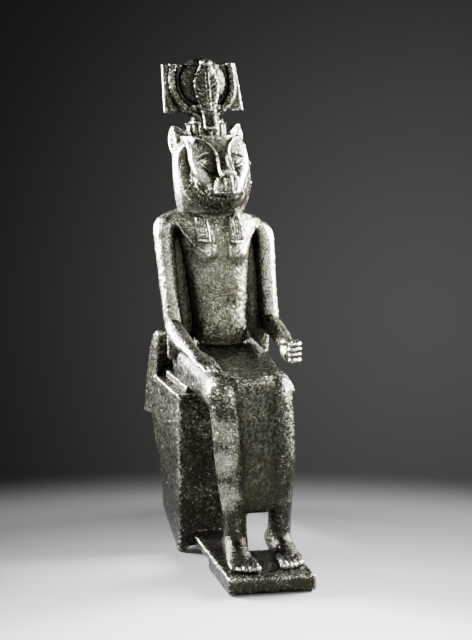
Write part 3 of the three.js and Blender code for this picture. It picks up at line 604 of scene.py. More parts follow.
# %% Forearms and hands
right_forearm = [(-21.4, 17, 27.5, 3.6, 4.2), (-21.8, 8, 24.4, 4, 4.2), (-20.9, -4, 21.6, 3.6, 3.5),
    (-19.4, -13, 19.4, 3.1, 2.5), (-18.2, -18.5, 18, 4, 1.9), (-17.3, -23.5, 16.9, 4.1, 1.6)]
right_thumb = [(-16, -13.5, 19, 1.4, 1.2), (-13.8, -18.5, 17.6, 1.1, 1.1), (-12.8, -22.3, 16.5, 0.8, 0.8)]
left_forearm = [(20.8, 17, 27.5, 3.6, 4.2), (21.4, 9, 26, 4, 4.3), (20.8, -4, 23.4, 3.8, 3.7),
    (19, -15, 22.4, 3.1, 3.1), (18.2, -21, 21.8, 3.5, 3.5)]
left_thumb = [(15.6, -22.5, 24.6, 1.5, 1.5), (14.8, -26.5, 25.4, 1.3, 1.3), (16.6, -28.8, 25.3, 1, 1)]
body_wax.add(limb(over_seat(right_forearm)), 0.9)
for finger in range(4):
    x = -20.2 + 2 * finger
    reach = -29.5 - 1.2 * math.sin(math.pi * (finger + 0.5) / 4)
    joints = [(x, -20.5, 17.6, 1, 0.95), (x + 0.5, 0.5 * (reach - 20.5), 16.9, 0.95, 0.9),
        (x + 0.9, reach + 0.6, 15.4, 0.75, 0.7)]
    body_wax.add(limb(over_seat(joints)), 0.25)
body_wax.add(limb(over_seat(right_thumb)), 0.5)
body_wax.add(limb(over_seat(left_forearm)), 0.9)
body_wax.add(ball((17.8, -25, seat_high + 21.2), (4.2, 4.8, 4.5)), 1)
for finger in range(4):
    level = 24.6 - 2.2 * finger
    joints = [(20.4, -23, level, 1.5, 1.15), (20.2, -27.6, level, 1.6, 1.2), (16.6, -29.2, level, 1.4, 1.1)]
    body_wax.add(limb(over_seat(joints)), 0.3)
body_wax.add(limb(over_seat(left_thumb)), 0.5)
weather(body_wax, (-40, -70, 0), (40, 60, 160), 23, swell=0.1, grain=0.08, pits=0.28)
body = mesh_of(body_wax, "seated_body", drifted, 0.005)

# %% [markdown]
# ## The lioness's head
# A broad ruff of mane frames a short, wide face. Two ridges run from the corners of a flat brow down to the
# nose, the eyes lie in hollows on either side, and smooth cheeks slope from the ears to the corners of the
# mouth. A sculptor sets the ridges first and cuts the hollows against them, and the same order works here.

# %% Ruff
head_wax = Wax((-22, -13, seat_high + 67), (22, 31, seat_high + 116), 0.26)
ruff_rows = [(68.5, 9, 26, 12.6), (72, 11.8, 27, 11), (75, 13.8, 28, 8.5), (77.5, 15, 28.5, 5.5),
    (79.5, 15.7, 28.8, 2), (86, 16.5, 28.8, -2), (94, 16.8, 28.2, -2.5), (100.5, 16.4, 27, -2),
    (104, 14.8, 25.5, 0), (106.6, 12.4, 24, 2), (108.2, 10.8, 23, 3)]
head_wax.add(stack([(seat_high + z, -0.8, (back + front) / 2, w - 0.8, (back - front) / 2)
    for z, w, back, front in ruff_rows], 2.3))
facets = [(-24, 12.6), (-15.6, 8.8), (-9.5, 5.6), (9.5, 5.6), (15.6, 8.8), (24, 12.6), (24, -14),
    (-24, -14)]
facet_form = slab(facets, 2, seat_high + 60, seat_high + 120, 0.1)


def under_chin(x, y, z):
    return x, y - 0.42 * np.maximum(0, seat_high + 84 - z), z


head_wax.cut(moved(facet_form, under_chin, facet_form[1], [24, 18, seat_high + 120]), 0.25)
print("ruff is", 2 * max(row[1] for row in ruff_rows), "mm wide")

# %% [markdown]
# ### The face as a relief
# A face is a surface seen from the front, so its broad shape is a table: rows from crown to throat, columns
# from the middle outwards, and in each place how far forward the surface lies. A smooth curve through the
# table gives the cheeks, the sockets and the muzzle at once, and only the crisp lines are added after it.

# %% Broad shape of the face
def smooth_weights(places, first, step, count, mirrored):
    """How much of each table entry goes into each place, on a smooth curve through the entries."""
    at = np.clip((places - first) / step, 0, count - 1.001)
    base = np.floor(at).astype(int)
    t = at - base
    parts = (-0.5 * t + t ** 2 - 0.5 * t ** 3, 1 - 2.5 * t ** 2 + 1.5 * t ** 3,
        0.5 * t + 2 * t ** 2 - 1.5 * t ** 3, -0.5 * t ** 2 + 0.5 * t ** 3)
    weights = np.zeros((len(places), count))
    for shift, part in zip((-1, 0, 1, 2), parts):
        index = base + shift
        index = np.abs(index) if mirrored else np.maximum(index, 0)
        np.add.at(weights, (np.arange(len(places)), np.minimum(index, count - 1)), part)
    return weights


def relief(table, first_z, step_z, step_x, wide, back):
    """A block whose front follows a table of depths, mirrored about the middle."""
    table = np.array(table, float)
    top = first_z + step_z * (len(table) - 1)

    def distance(x, y, z):
        across = smooth_weights(np.abs(x.ravel()), 0, step_x, table.shape[1], True)
        upward = smooth_weights(z.ravel(), first_z, step_z, table.shape[0], False)
        front = across @ table.T @ upward.T
        slope_x, slope_z = np.gradient(front, x.ravel()[1] - x.ravel()[0], z.ravel()[1] - z.ravel()[0])
        steep = np.sqrt(1 + slope_x ** 2 + slope_z ** 2)
        lead = (front[:, None, :] - y) / steep[:, None, :]
        sides = np.maximum(np.abs(x) - wide, np.maximum(first_z - z, z - top))
        return np.maximum(np.maximum(lead, y - back), sides)
    return distance, [-wide, table.min() - 1, first_z], [wide, back, top]


face_table = [(6.0, 6.0, 6.4, 7.0, 8.0, 9.4, 11), (0.6, 0.8, 1.6, 3.2, 5.6, 8, 10),
    (-4.2, -4.0, -3, -0.8, 2.6, 6, 9), (-6.8, -6.8, -6.2, -4.0, 0.2, 3.4, 8),
    (-7.4, -7.3, -6.7, -3.6, -0.4, 2, 6), (-7.6, -7.1, -5.0, -1.6, -0.1, 1.8, 5.4),
    (-5.4, -5.0, -1.2, 0.3, 0.6, 1.8, 5), (-3.0, -2.6, 0.3, 0.7, 1.0, 2.0, 4.6),
    (-1.2, -1.2, 0.6, 1.0, 1.2, 1.7, 4.2), (0.1, 0.0, 0.7, 1.2, 1.6, 2.2, 4.4),
    (1.0, 1.0, 1.3, 2.0, 2.6, 3.4, 6), (1.6, 1.7, 2.1, 3.0, 4.2, 5.6, 8.4)]
face_low, face_step, face_column, face_half, face_back = seat_high + 76.5, 2.9, 2, 12.2, 16
head_wax.add(relief(face_table, face_low, face_step, face_column, face_half, face_back), 0.5)
print("face table has", len(face_table), "rows of", len(face_table[0]), "depths")

# %% Cheeks and brow ridges
cheek = [(11.3, 6.2, 104.2, 0.9, 1.5), (11.0, 4.8, 101.4, 1.9, 2.3), (10.3, 3.8, 98, 2.5, 2.6),
    (9.1, 2.3, 94.2, 2.9, 2.8), (7.3, 0.5, 91, 2.5, 2.5), (6.0, -1.2, 88.4, 1.8, 2.0),
    (5.5, -2.4, 86.4, 1, 1.4)]
cheek_crease = [(12.3, 5, 103), (12.6, 5, 100), (12.6, 4, 97), (11.8, 3, 93.6), (9.6, 1, 90.2),
    (7.6, -1, 87.4), (6.6, -2, 85.4)]
brow_ridge = [(10.4, 6, 107.3), (8.9, 3.7, 107.5), (6.4, 1.9, 106.8), (4.3, 0.7, 104.8), (3.1, -0.5, 102.6),
    (2.6, -1.7, 100.5), (2.7, -3.5, 97.8), (3.0, -5.5, 95.3), (2.9, -7.3, 92.8)]
for side in (-1, 1):
    head_wax.add(limb(over_seat([(side * x, *rest) for x, *rest in cheek]), 4, deep_in_y), 1.2)
    head_wax.sink_in(line_on(side, cheek_crease, 0.45), 0.28, 0.3)
    head_wax.add(limb(over_seat([(side * x, y, z, 0.45, 0.5) for x, y, z in brow_ridge])), 0.7)
print("each brow ridge drops", round(brow_ridge[0][2] - brow_ridge[-1][2], 1), "mm")

# %% Eyes
eye_lines = ([(9.8, 97.9), (7.6, 99.3), (5.8, 99.7), (3.2, 98.3)],
    [(9.8, 97.9), (7.6, 96.1), (5.4, 95.5), (3.2, 96.4)],
    [(10.2, 99.8), (8, 101), (5.4, 101.5), (3.4, 101.2)])
for side in (-1, 1):
    head_wax.add(ball((side * 6.1, 1.6, seat_high + 97.7), (3.2, 1.7, 1.9)), 0.4)
    head_wax.cut(ball((side * 5.9, -0.1, seat_high + 97.7), (0.8, 0.6, 0.8)), 0.15)
    for line in eye_lines:
        head_wax.raise_in(line_on(side, [(x, 1, z) for x, z in line], 0.32, steps=6), 0.42, 0.15)
print("eyes at", seat_high + 97.7, "mm, with", len(eye_lines), "chased lines each")

# %% Nose, whiskers and mouth
nostril_line = [(1.5, -7.8, 91.2), (1.5, -8, 88.5), (1.7, -7.7, 85.8)]
for side in (-1, 1):
    head_wax.add(ball((side * 3.3, -5.8, seat_high + 88.2), (2.2, 2.3, 3.4)), 0.4)
    head_wax.add(ball((side * 2.5, -8, seat_high + 93), (0.95, 1, 1)), 0.4)
    head_wax.cut(ball((side * 1.8, -9.2, seat_high + 91.6), (0.9, 1, 0.6)), 0.4)
    head_wax.add(line_on(side, nostril_line, 0.35, 0.4), 0.3)
    for whisker in range(5):
        z = 90.6 - 1.1 * whisker
        groove = line_on(side, [(2.2, -6, z), (3.8, -5, z - 0.2), (5.4, -3, z + 0.2)], 0.28)
        head_wax.sink_in(groove, 0.5, 0.1)
head_wax.add(ball((0, -7.4, seat_high + 93.6), (2.9, 1.7, 1.7)), 0.6)
head_wax.cut(line_on(1, [(0, -9, 90.6), (0, -9, 88.5), (0, -8.8, 86)], 0.8, 0.9, 3), 0.3)
mouth = [(-6.4, -3, 84.3, 0.35, 5), (-3, -5, 83.9, 0.9, 5), (0, -6, 83.8, 1.1, 5), (3, -5, 83.9, 0.9, 5),
    (6.4, -3, 84.3, 0.35, 5)]
upper_lip = [(-6.6, -2.8, 84.9, 0.3, 0.3), (-3.2, -6.5, 85.2, 0.4, 0.3), (0, -7.6, 85.4, 0.4, 0.3),
    (3.2, -6.5, 85.2, 0.4, 0.3), (6.6, -2.8, 84.9, 0.3, 0.3)]
head_wax.sink_in(limb(over_seat(mouth), 6, deep_in_y), 0.9, 0.2)
head_wax.add(limb(over_seat(upper_lip), 6), 0.3)
print("mouth is", 2 * mouth[-1][0], "mm wide")

# %% Ears
# Each ear is drawn flat, cut to two facets with a ridge between, and turned half towards the side.
ear_wide, ear_high, ear_lean, ear_yaw = 9.6, 12.6, math.radians(10), math.radians(42)


def ear_curve():
    t = np.linspace(0, 1, 9)[:, None]
    left = (1 - t) ** 2 * [-0.42, 0] + 2 * t * (1 - t) * [-0.66, 0.7] + t ** 2 * [-0.04, 0.96]
    right = (1 - t) ** 2 * [0.1, 0.94] + 2 * t * (1 - t) * [0.72, 0.62] + t ** 2 * [0.66, 0]
    return np.vstack([left, right]) * [ear_wide, ear_high]


ear_form = slab(ear_curve(), 1, -3.4, 0, 0.4)


def ear(side):
    lean, yaw = ear_lean * side, ear_yaw * side
    middle = (side * 10.9, 18.2, seat_high + 101)

    def distance(x, y, z):
        u, v, w = x - middle[0], y - middle[1], z - middle[2]
        u, v = u * math.cos(yaw) + v * math.sin(yaw), -u * math.sin(yaw) + v * math.cos(yaw)
        u, w = u * math.cos(lean) - w * math.sin(lean), u * math.sin(lean) + w * math.cos(lean)
        u = -side * u
        flat = ear_form[0](u, v, w)
        beside = np.abs(u + 0.5)
        facet = v + 3.2 - 0.5 * np.minimum(beside, 1) - 0.12 * beside
        return np.maximum(flat, -0.9 * facet)
    start, end = [middle[0] - 9, middle[1] - 9, middle[2]], [middle[0] + 9, middle[1] + 9, middle[2] + 14]
    return distance, start, end


for side in (-1, 1):
    head_wax.add(ear(side), 0.6)
weather(head_wax, (-30, -20, 130), (30, 40, 190), 37, swell=0.08, grain=0.05, pits=0.12)
head = mesh_of(head_wax, "head", turned_head, 0.001)

# %% [markdown]
# ## Headdress
# On the flat crown stands a ring of small cobras. From it rises a stem with a back plate, cut off flat at
# the top, and in front of the plate cow's horns hold a domed sun disc. A large cobra rears before them all.

# %% Plate, horns and disc
crown_y, plate_y = 17.6, 19.4
ring_radius, ring_high = 8.4, 8.2
plate_z, plate_high = crown_z + 10.3, 20.4
disc_z, disc_radius = crown_z + 22.8, 10.2


def drum(lower, upper, radius):
    """An upright cylinder on the crown, between two heights over it."""
    return stack([(crown_z + z, 0, crown_y, radius, radius) for z in (lower, upper)], 2)


dress_wax = Wax((-21, 3, crown_z - 3), (21, 30, crown_z + 35), 0.26)
dress_wax.add(drum(-2, ring_high - 1.8, ring_radius - 1))
dress_wax.add(drum(-0.9, 0.3, ring_radius), 0.2)
plate = [(-17.4, plate_z), (17.4, plate_z), (15.1, plate_z + plate_high), (-16.7, plate_z + plate_high)]
stem = [(-6.4, crown_z + 4), (6.4, crown_z + 4), (5.4, crown_z + 8), (6.6, plate_z + 3),
    (-6.6, plate_z + 3), (-5.4, crown_z + 8)]
horn = [(1.5, -14.2, 2.2, 1.9), (6.4, -12.2, 2.3, 2), (10.6, -8.6, 2.1, 1.9), (12.7, -3.4, 1.9, 1.8),
    (12.9, 2.4, 1.8, 1.6), (12.3, 7.8, 1.7, 1.5)]
dress_wax.add(slab(plate, 1, plate_y, plate_y + 2.8, 0.5))
dress_wax.add(slab(stem, 1, 16.8, 21.6, 0.6), 1)
for side in (-1, 1):
    curve = [(side * x, plate_y - 0.4, disc_z + z, a, b) for x, z, a, b in horn]
    groove = [(side * x * 0.985, plate_y - 2.6, disc_z + z * 0.985, 0.45, 0.5) for x, z, a, b in horn]
    dress_wax.add(limb(curve, 5, deep_in_y), 0.5)
    dress_wax.cut(limb(groove, 5, deep_in_y), 0.4)
over_plate = rectangle(-19, 19, plate_z + plate_high - 0.2, plate_z + plate_high + 4)
dress_wax.cut(slab(over_plate, 1, plate_y - 3, plate_y + 5, 0.1))
dress_wax.add(ball((0, plate_y - 0.4, disc_z), (disc_radius, 3.8, disc_radius)), 0.3)
print("disc is", 2 * disc_radius, "mm across")

# %% Large cobra
hood_y = [8.8, 10.4, 11.8, 12.2, 12.2, 12.4, 12]
hood_rows = [(3.6, 3.2, 1.6), (7.2, 2.9, 1.5), (11.2, 3.2, 1.3), (16.2, 4.6, 1.2), (21.6, 5.4, 1.2),
    (26.2, 4.2, 1.3), (29.4, 2.4, 1.6)]
hood = [(y, crown_z + z, w, t) for y, (z, w, t) in zip(hood_y, hood_rows)]
dress_wax.add(limb([(0, y, z, w, t) for y, z, w, t in hood], 5, deep_in_y), 0.5)
dress_wax.add(ball((0, 10.8, crown_z + 30.3), (2.6, 3, 1.6)), 0.8)
dress_wax.add(ball((0, 9.4, crown_z + 29.6), (1.5, 1.9, 1)), 0.6)
for side in (-1, 1):
    dress_wax.add(limb([(side * 0.7, y - t, z, 0.3, 0.3) for y, z, w, t in hood[2:6]], 5, deep_in_y), 0.2)
link_to_disc = [(-2, crown_z + 17), (2, crown_z + 17), (1.6, crown_z + 28), (-1.6, crown_z + 28)]
dress_wax.add(slab(link_to_disc, 1, 12, 17, 0.4), 0.5)
weather(dress_wax, (-30, 0, 170), (30, 40, 215), 53, swell=0.07, grain=0.05, pits=0.12)
headdress = mesh_of(dress_wax, "headdress", tipped, 0.001)

# %% [markdown]
# ## Chased lines
# Once the wax was cast, a chisel cut the locks of the mane, the strands of the wig and the ribs of the hood.
# Each is one short ridge, repeated in rows that follow a surface. Geometry Nodes put a ridge on every point
# of a small mesh of places; each place is read off the finished wax, where the surface faces and which way
# the row runs.

# %% Helpers for node trees
def node_of(tree, kind, inputs=(), **settings):
    """Adds a node, sets or links its inputs, and gives back its outputs."""
    node = tree.nodes.new(kind)
    for name, value in settings.items():
        setattr(node, name, value)
    for name, value in dict(inputs).items():
        if hasattr(value, "is_output"):
            tree.links.new(value, node.inputs[name])
        else:
            node.inputs[name].default_value = value
    return node.outputs


def new_tree(name, kind, numbers, others, made):
    """A tree with named inputs, the numbers with a start value, and named outputs."""
    tree = bpy.data.node_groups.new(name, kind)
    for label, sort in others:
        tree.interface.new_socket(label, in_out="INPUT", socket_type="NodeSocket" + sort)
    for label, value in numbers:
        sort = "NodeSocketInt" if isinstance(value, int) else "NodeSocketFloat"
        tree.interface.new_socket(label, in_out="INPUT", socket_type=sort).default_value = value
    for label, sort in made:
        tree.interface.new_socket(label, in_out="OUTPUT", socket_type="NodeSocket" + sort)
    return tree, tree.nodes.new("NodeGroupInput").outputs


ridge_bulge = 0.16


def end_tree(tree, instances, metal, label):
    """Makes instances real, smooth, rubbed and metal, and hands them to the tree's output."""
    real = node_of(tree, "GeometryNodeRealizeInstances", {"Geometry": instances})
    smooth = node_of(tree, "GeometryNodeSetShadeSmooth", {"Geometry": real["Geometry"]})
    bright = node_of(tree, "GeometryNodeStoreNamedAttribute", {"Geometry": smooth["Geometry"],
        "Name": "bulge", "Value": ridge_bulge}, data_type="FLOAT")
    painted = node_of(tree, "GeometryNodeSetMaterial", {"Geometry": bright["Geometry"], "Material": metal})
    node_of(tree, "NodeGroupOutput", {label: painted["Geometry"]})


# %% Tree of ridges
def ridge_tree(name):
    """A ridge on each point, turned by the attribute turn and stretched by the attribute stretch."""
    tree, given = new_tree(name, "GeometryNodeTree", [("Length", 4.0), ("Width", 0.8), ("Height", 0.5)],
        [("Places", "Geometry"), ("Metal", "Material")], [("Ridges", "Geometry")])
    pebble = node_of(tree, "GeometryNodeMeshUVSphere", {"Segments": 8, "Rings": 6, "Radius": 0.5})
    size = node_of(tree, "ShaderNodeCombineXYZ", {0: given["Width"], 1: given["Length"],
        2: given["Height"]})
    ridge = node_of(tree, "GeometryNodeTransform", {"Geometry": pebble["Mesh"], "Scale": size[0]})
    turn, stretch = (node_of(tree, "GeometryNodeInputNamedAttribute", {"Name": label},
        data_type="FLOAT_VECTOR") for label in ("turn", "stretch"))
    turned = node_of(tree, "FunctionNodeEulerToRotation", {0: turn["Attribute"]})
    spread = node_of(tree, "GeometryNodeInstanceOnPoints", {"Points": given["Places"],
        "Instance": ridge["Geometry"], "Rotation": turned[0], "Scale": stretch["Attribute"]})
    end_tree(tree, spread["Instances"], given["Metal"], "Ridges")
    return tree


bronze = bpy.data.materials.new("bronze")
ridges = ridge_tree("ridges")
print("ridge tree has", len(ridges.nodes), "nodes")


# %% Places for the ridges
def made_plain(name, spots, tree, values, bend):
    """Runs a tree on some places, and keeps the result as a plain mesh in the part's frame."""
    carrier = placed(name + "_places", places_mesh(name, spots))
    modifier = carrier.modifiers.new("nodes", "NODES")
    modifier.node_group = tree
    for item in tree.interface.items_tree:
        if item.in_out == "INPUT" and item.name in values:
            modifier[item.identifier] = values[item.name]
    graph = bpy.context.evaluated_depsgraph_get()
    mesh = bpy.data.meshes.new_from_object(carrier.evaluated_get(graph))
    mesh.name = name
    carrier.modifiers.clear()
    bpy.data.objects.remove(carrier)
    mesh.vertices.foreach_set("co", place_in_frame(bend(corners_of(mesh))).ravel())
    mesh.update()
    print(name, "from", len(spots), "places,", len(mesh.polygons), "faces")
    return placed(name, mesh)


def places_mesh(name, spots):
    """Spots are place, outward direction, direction of the row, and a stretch along x, y and z, in the
    maker's millimetres."""
    mesh = bpy.data.meshes.new(name)
    mesh.from_pydata([tuple(spot[0]) for spot in spots], [], [])
    turns, stretches = [], []
    for place, outward, along, stretch in spots:
        z = Vector(outward).normalized()
        y = (Vector(along) - z * Vector(along).dot(z)).normalized()
        turns += list(Matrix((y.cross(z), y, z)).transposed().to_euler())
        stretches += list(stretch)
    for label, values in (("turn", turns), ("stretch", stretches)):
        layer = mesh.attributes.new(label, "FLOAT_VECTOR", "POINT")
        layer.data.foreach_set("vector", values)
    return mesh


def front_of(wax, x, z):
    """Where the surface is met from the front at that place, and which way it faces."""
    i, k = (x - wax.start[0]) / wax.step, (z - wax.start[2]) / wax.step
    count = len(wax.lines[1])
    column = sampled(wax.field, np.stack([np.full(count, i), np.arange(count), np.full(count, k)], 1))
    first = int(np.argmax(column < 0))
    j = first - 1 + column[first - 1] / (column[first - 1] - column[first])
    at = np.array([[i, j, k]])
    slope = [float(sampled(wax.field, at + d)[0] - sampled(wax.field, at - d)[0]) for d in np.eye(3)]
    return (x, wax.start[1] + j * wax.step, z), slope


# %% Locks of the mane
# Rows of locks fan out from the face to the rim of the ruff, and close up under the chin. They keep clear
# of the smooth cheek, which is wider higher up, and of places that turn away to the side.
mane_middle, mane_wide, mane_up, mane_down, mane_foot = seat_high + 92, 14.6, 12, 13.4, seat_high + 76
cheek_heights, cheek_edges = [83.6, 86, 90, 94, 98], [0, 8, 11.4, 13, 13.6]


def mane_places():
    spots = []
    chooser = np.random.RandomState(5)
    for row, reach in enumerate((0.66, 0.76, 0.86, 0.96, 1.04)):
        count = 56 + 4 * row
        for i in range(count):
            angle = math.radians(-90 + (i + 0.5 * (row % 2)) * 360 / count)
            dx, dz = math.cos(angle), math.sin(angle)
            if dz > 0.75:
                continue
            x = mane_wide * reach * abs(dx) ** 0.8 * math.copysign(1, dx)
            z = mane_middle + (mane_down if dz < 0 else mane_up) * reach * dz
            if z < mane_foot or abs(x) < np.interp(z - seat_high, cheek_heights, cheek_edges):
                continue
            place, outward = front_of(head_wax, x, z)
            if outward[1] > -0.25 * np.linalg.norm(outward):
                continue
            size = chooser.uniform(0.85, 1.15)
            spots.append((place, outward, (dx + 0.15 * dz, 0, dz - 0.5), (1, size, 1)))
    return spots


lock = {"Length": 3.3, "Width": 0.6, "Height": 1.8, "Metal": bronze}
mane = made_plain("mane_locks", mane_places(), ridges, lock, turned_head)

# %% Strands of the wig's lappets
def lappet_places():
    spots = []
    for side in (-1, 1):
        for strand in range(5):
            for step in range(2):
                x, z = side * (5.25 + 1.1 * strand), seat_high + 67.4 + 4.2 * step
                place, outward = front_of(body_wax, x, z)
                spots.append((place, outward, (0, 0, 1), (1, 1, 1)))
    return spots


strand = {"Length": 8.4, "Width": 0.66, "Height": 2.0, "Metal": bronze}
lappets = made_plain("lappet_strands", lappet_places(), ridges, strand, drifted)

# %% Ribs of the cobra's hood
def hood_places():
    spots = []
    for side in (-1, 1):
        for rib in range(9):
            z = crown_z + 9.4 + 1.9 * rib
            wide = np.interp(z - crown_z, [row[0] for row in hood_rows], [row[1] for row in hood_rows])
            x = side * (0.9 + 0.5 * wide)
            place, outward = front_of(dress_wax, x, z)
            spots.append((place, outward, (side, 0, 0.75), (1, (wide - 0.5) / 4, 1)))
    return spots


rib = {"Length": 4.6, "Width": 0.7, "Height": 0.75, "Metal": bronze}
hood_ribs = made_plain("hood_ribs", hood_places(), ridges, rib, tipped)

# %% [markdown]
# ## The ring of cobras
# The crown's low drum is a frieze of small cobras side by side. Only one is modelled, a hood with a head,
# and a circle with as many points as there are cobras carries them round. The last few would be hidden by
# the stem behind, but a ring that stops is harder to make than one that closes.

# %% Tree of the ring
def ring_tree(name):
    """One cobra, a flat hood with a round head in front, on each of the points round a circle."""
    tree, given = new_tree(name, "GeometryNodeTree", [("Cobras", 16), ("Radius", 8.0), ("Width", 3.0),
        ("Height", 7.0)], [("Geometry", "Geometry"), ("Metal", "Material")], [("Ring", "Geometry")])
    circle = node_of(tree, "GeometryNodeCurvePrimitiveCircle", {"Radius": given["Radius"]})
    points = node_of(tree, "GeometryNodeCurveToPoints", {"Curve": circle["Curve"],
        "Count": given["Cobras"]}, mode="COUNT")
    hood_ball = node_of(tree, "GeometryNodeMeshUVSphere", {"Segments": 12, "Rings": 8, "Radius": 0.5})
    hood_size = node_of(tree, "ShaderNodeCombineXYZ", {0: given["Width"], 1: 1.9, 2: given["Height"]})
    hood_made = node_of(tree, "GeometryNodeTransform", {"Geometry": hood_ball["Mesh"],
        "Scale": hood_size[0]})
    head_ball = node_of(tree, "GeometryNodeMeshUVSphere", {"Segments": 8, "Rings": 6, "Radius": 0.62})
    lift = node_of(tree, "ShaderNodeMath", {0: given["Height"], 1: 0.4}, operation="MULTIPLY")
    lifted = node_of(tree, "ShaderNodeCombineXYZ", {1: -0.7, 2: lift[0]})
    head_made = node_of(tree, "GeometryNodeTransform", {"Geometry": head_ball["Mesh"],
        "Translation": lifted[0]})
    join = tree.nodes.new("GeometryNodeJoinGeometry")
    for form in (hood_made, head_made):
        tree.links.new(form["Geometry"], join.inputs[0])
    spot = node_of(tree, "GeometryNodeInputPosition")
    inward = node_of(tree, "ShaderNodeVectorMath", {0: spot[0], "Scale": -1}, operation="SCALE")
    facing = node_of(tree, "FunctionNodeAlignRotationToVector", {"Vector": inward[0]}, axis="Y")
    spread = node_of(tree, "GeometryNodeInstanceOnPoints", {"Points": points["Points"],
        "Instance": join.outputs[0], "Rotation": facing[0]})
    end_tree(tree, spread["Instances"], given["Metal"], "Ring")
    return tree


def on_crown(points):
    return tipped(points + np.array([0, crown_y, crown_z + 2.7]))


ring = {"Cobras": 15, "Radius": ring_radius - 1, "Width": 2.9, "Height": 6.8, "Metal": bronze}
cobra_ring = made_plain("cobra_ring", [], ring_tree("ring of cobras"), ring, on_crown)

# %% [markdown]
# ## Patinated bronze
# The bronze has three looks at once. Raised edges are rubbed to pale grey metal, open ground is dark brown
# and olive, and sheltered hollows are nearly black, partly as dark patina and partly as painted shade. The
# tone is also darkest low down and lightest on the body, and a few pale patches on the face, the ruff and one
# shin are painted highlights. Green corrosion sits by the horn's root and on the skirt, and rust-brown crust
# on the cobra's head, the left forearm and the inner leg. Painting this by hand would need a texture, so it
# is worked out from the two readings kept on the mesh and from noise at three scales. The group only mixes
# colours and masks; gloss stays in the material's own shader.

# %% Sums and masks as nodes
class Masks:
    """Short words for the sums, noises, ramps and mixes of one tree."""
    def __init__(self, tree):
        self.tree = tree

    def node(self, kind, inputs=(), **settings):
        return node_of(self.tree, kind, inputs, **settings)

    def maths(self, operation, a, b, clamp=False):
        return self.node("ShaderNodeMath", {0: a, 1: b}, operation=operation, use_clamp=clamp)[0]

    def plus(self, total, *terms):
        for term in terms:
            total = self.maths("ADD", total, term)
        return total

    def minus(self, a, b):
        return self.maths("SUBTRACT", a, b)

    def times(self, a, b):
        return self.maths("MULTIPLY", a, b)

    def noise(self, where, scale, detail):
        settings = {"Vector": where, "Scale": scale, "Detail": detail, "Roughness": 0.6}
        return self.node("ShaderNodeTexNoise", settings)["Fac"]

    def ramp(self, value, start, end):
        settings = {"Value": value, "From Min": start, "From Max": end}
        return self.node("ShaderNodeMapRange", settings, interpolation_type="SMOOTHSTEP")["Result"]

    def mix(self, share, a, b):
        """Mixes two colours, which are this node's seventh and eighth sockets."""
        return self.node("ShaderNodeMix", {0: share, 6: a, 7: b}, data_type="RGBA")[2]

    def away(self, where, place):
        return self.node("ShaderNodeVectorMath", {0: where, 1: place}, operation="DISTANCE")["Value"]


# %% Patina group
nearly_black, brown_ground = (0.012, 0.011, 0.007, 1), (0.1, 0.095, 0.06, 1)
rubbed_metal_and_highlight = (0.62, 0.6, 0.53, 1)
green_crust, rust_crust = (0.02, 0.034, 0.02, 1), (0.04, 0.023, 0.011, 1)


def patina_and_light_group():
    numbers = [(label, 0.0) for label in ("Bulge", "Open", "Tone and highlight", "Green", "Rust")]
    tree, given = new_tree("patina_and_painted_light", "ShaderNodeTree", numbers, [("Place", "Vector")],
        [("Colour", "Color"), ("Metal", "Float"), ("Roughness", "Float"), ("Height", "Float")])
    on, where, tone_and_highlight = Masks(tree), given["Place"], given["Tone and highlight"]
    grain, blotch, cloud = (on.noise(where, *size) for size in ((2100, 1), (700, 3), (85, 3)))
    raised = on.times(on.maths("MINIMUM", given["Bulge"], 0.3), 0.9)
    opened = on.times(on.minus(given["Open"], 0.1), 0.7)
    speckle = on.times(on.minus(grain, 0.48), 3.0)
    patch = on.minus(cloud, 0.5)
    # The pale metal share: rubbed edges and grains, and the painted highlights that come in with the tone.
    bright = on.ramp(on.plus(raised, opened, speckle, patch, tone_and_highlight), 0.0, 0.95)
    # Dark patina and painted shade: the hollows go nearly black.
    hollow_patina_and_shade = on.ramp(on.plus(given["Open"], on.times(patch, 0.12)), 0.06, -0.16)
    kept = on.ramp(on.plus(tone_and_highlight, blotch, on.times(patch, 0.4)), 0.1, 0.7)
    green = on.times(given["Green"], on.ramp(blotch, 0.44, 0.66))
    rust = on.times(given["Rust"], on.ramp(blotch, 0.42, 0.7))
    colour = on.mix(bright, on.mix(kept, nearly_black, brown_ground), rubbed_metal_and_highlight)
    for mask, share, over in ((hollow_patina_and_shade, 0.85, nearly_black), (green, 0.45, green_crust),
            (rust, 0.85, rust_crust)):
        colour = on.mix(on.times(mask, share), colour, over)
    crust = on.maths("MAXIMUM", green, rust)
    rough = on.minus(on.plus(0.26, on.times(on.minus(blotch, 0.5), 0.4)), on.times(bright, 0.06))
    on.node("NodeGroupOutput", {"Colour": colour, "Metal": on.minus(0.97, on.times(crust, 0.4)),
        "Roughness": on.maths("ADD", rough, on.times(crust, 0.3), True),
        "Height": on.plus(on.times(grain, 0.7), blotch)})
    return tree


# %% Masks on the bronze
# Each row of the first table is where a change of tone starts and ends above the ground, in metres, and
# how much it adds: the bronze is darkest at the bottom, lightest on the body and darker again on the head
# and crown, where raised edges also brighten less. The spots are places in the maker's millimetres with a
# reach.
bronze.use_nodes = True
tree = bronze.node_tree
on = Masks(tree)
where = on.node("ShaderNodeTexCoord")["Object"]
tone_at_ground = -0.47
tone_steps_by_height = ((0.0, 0.08, 0.15), (0.08, 0.12, 0.34), (0.136, 0.15, -0.16), (0.176, 0.186, -0.2))
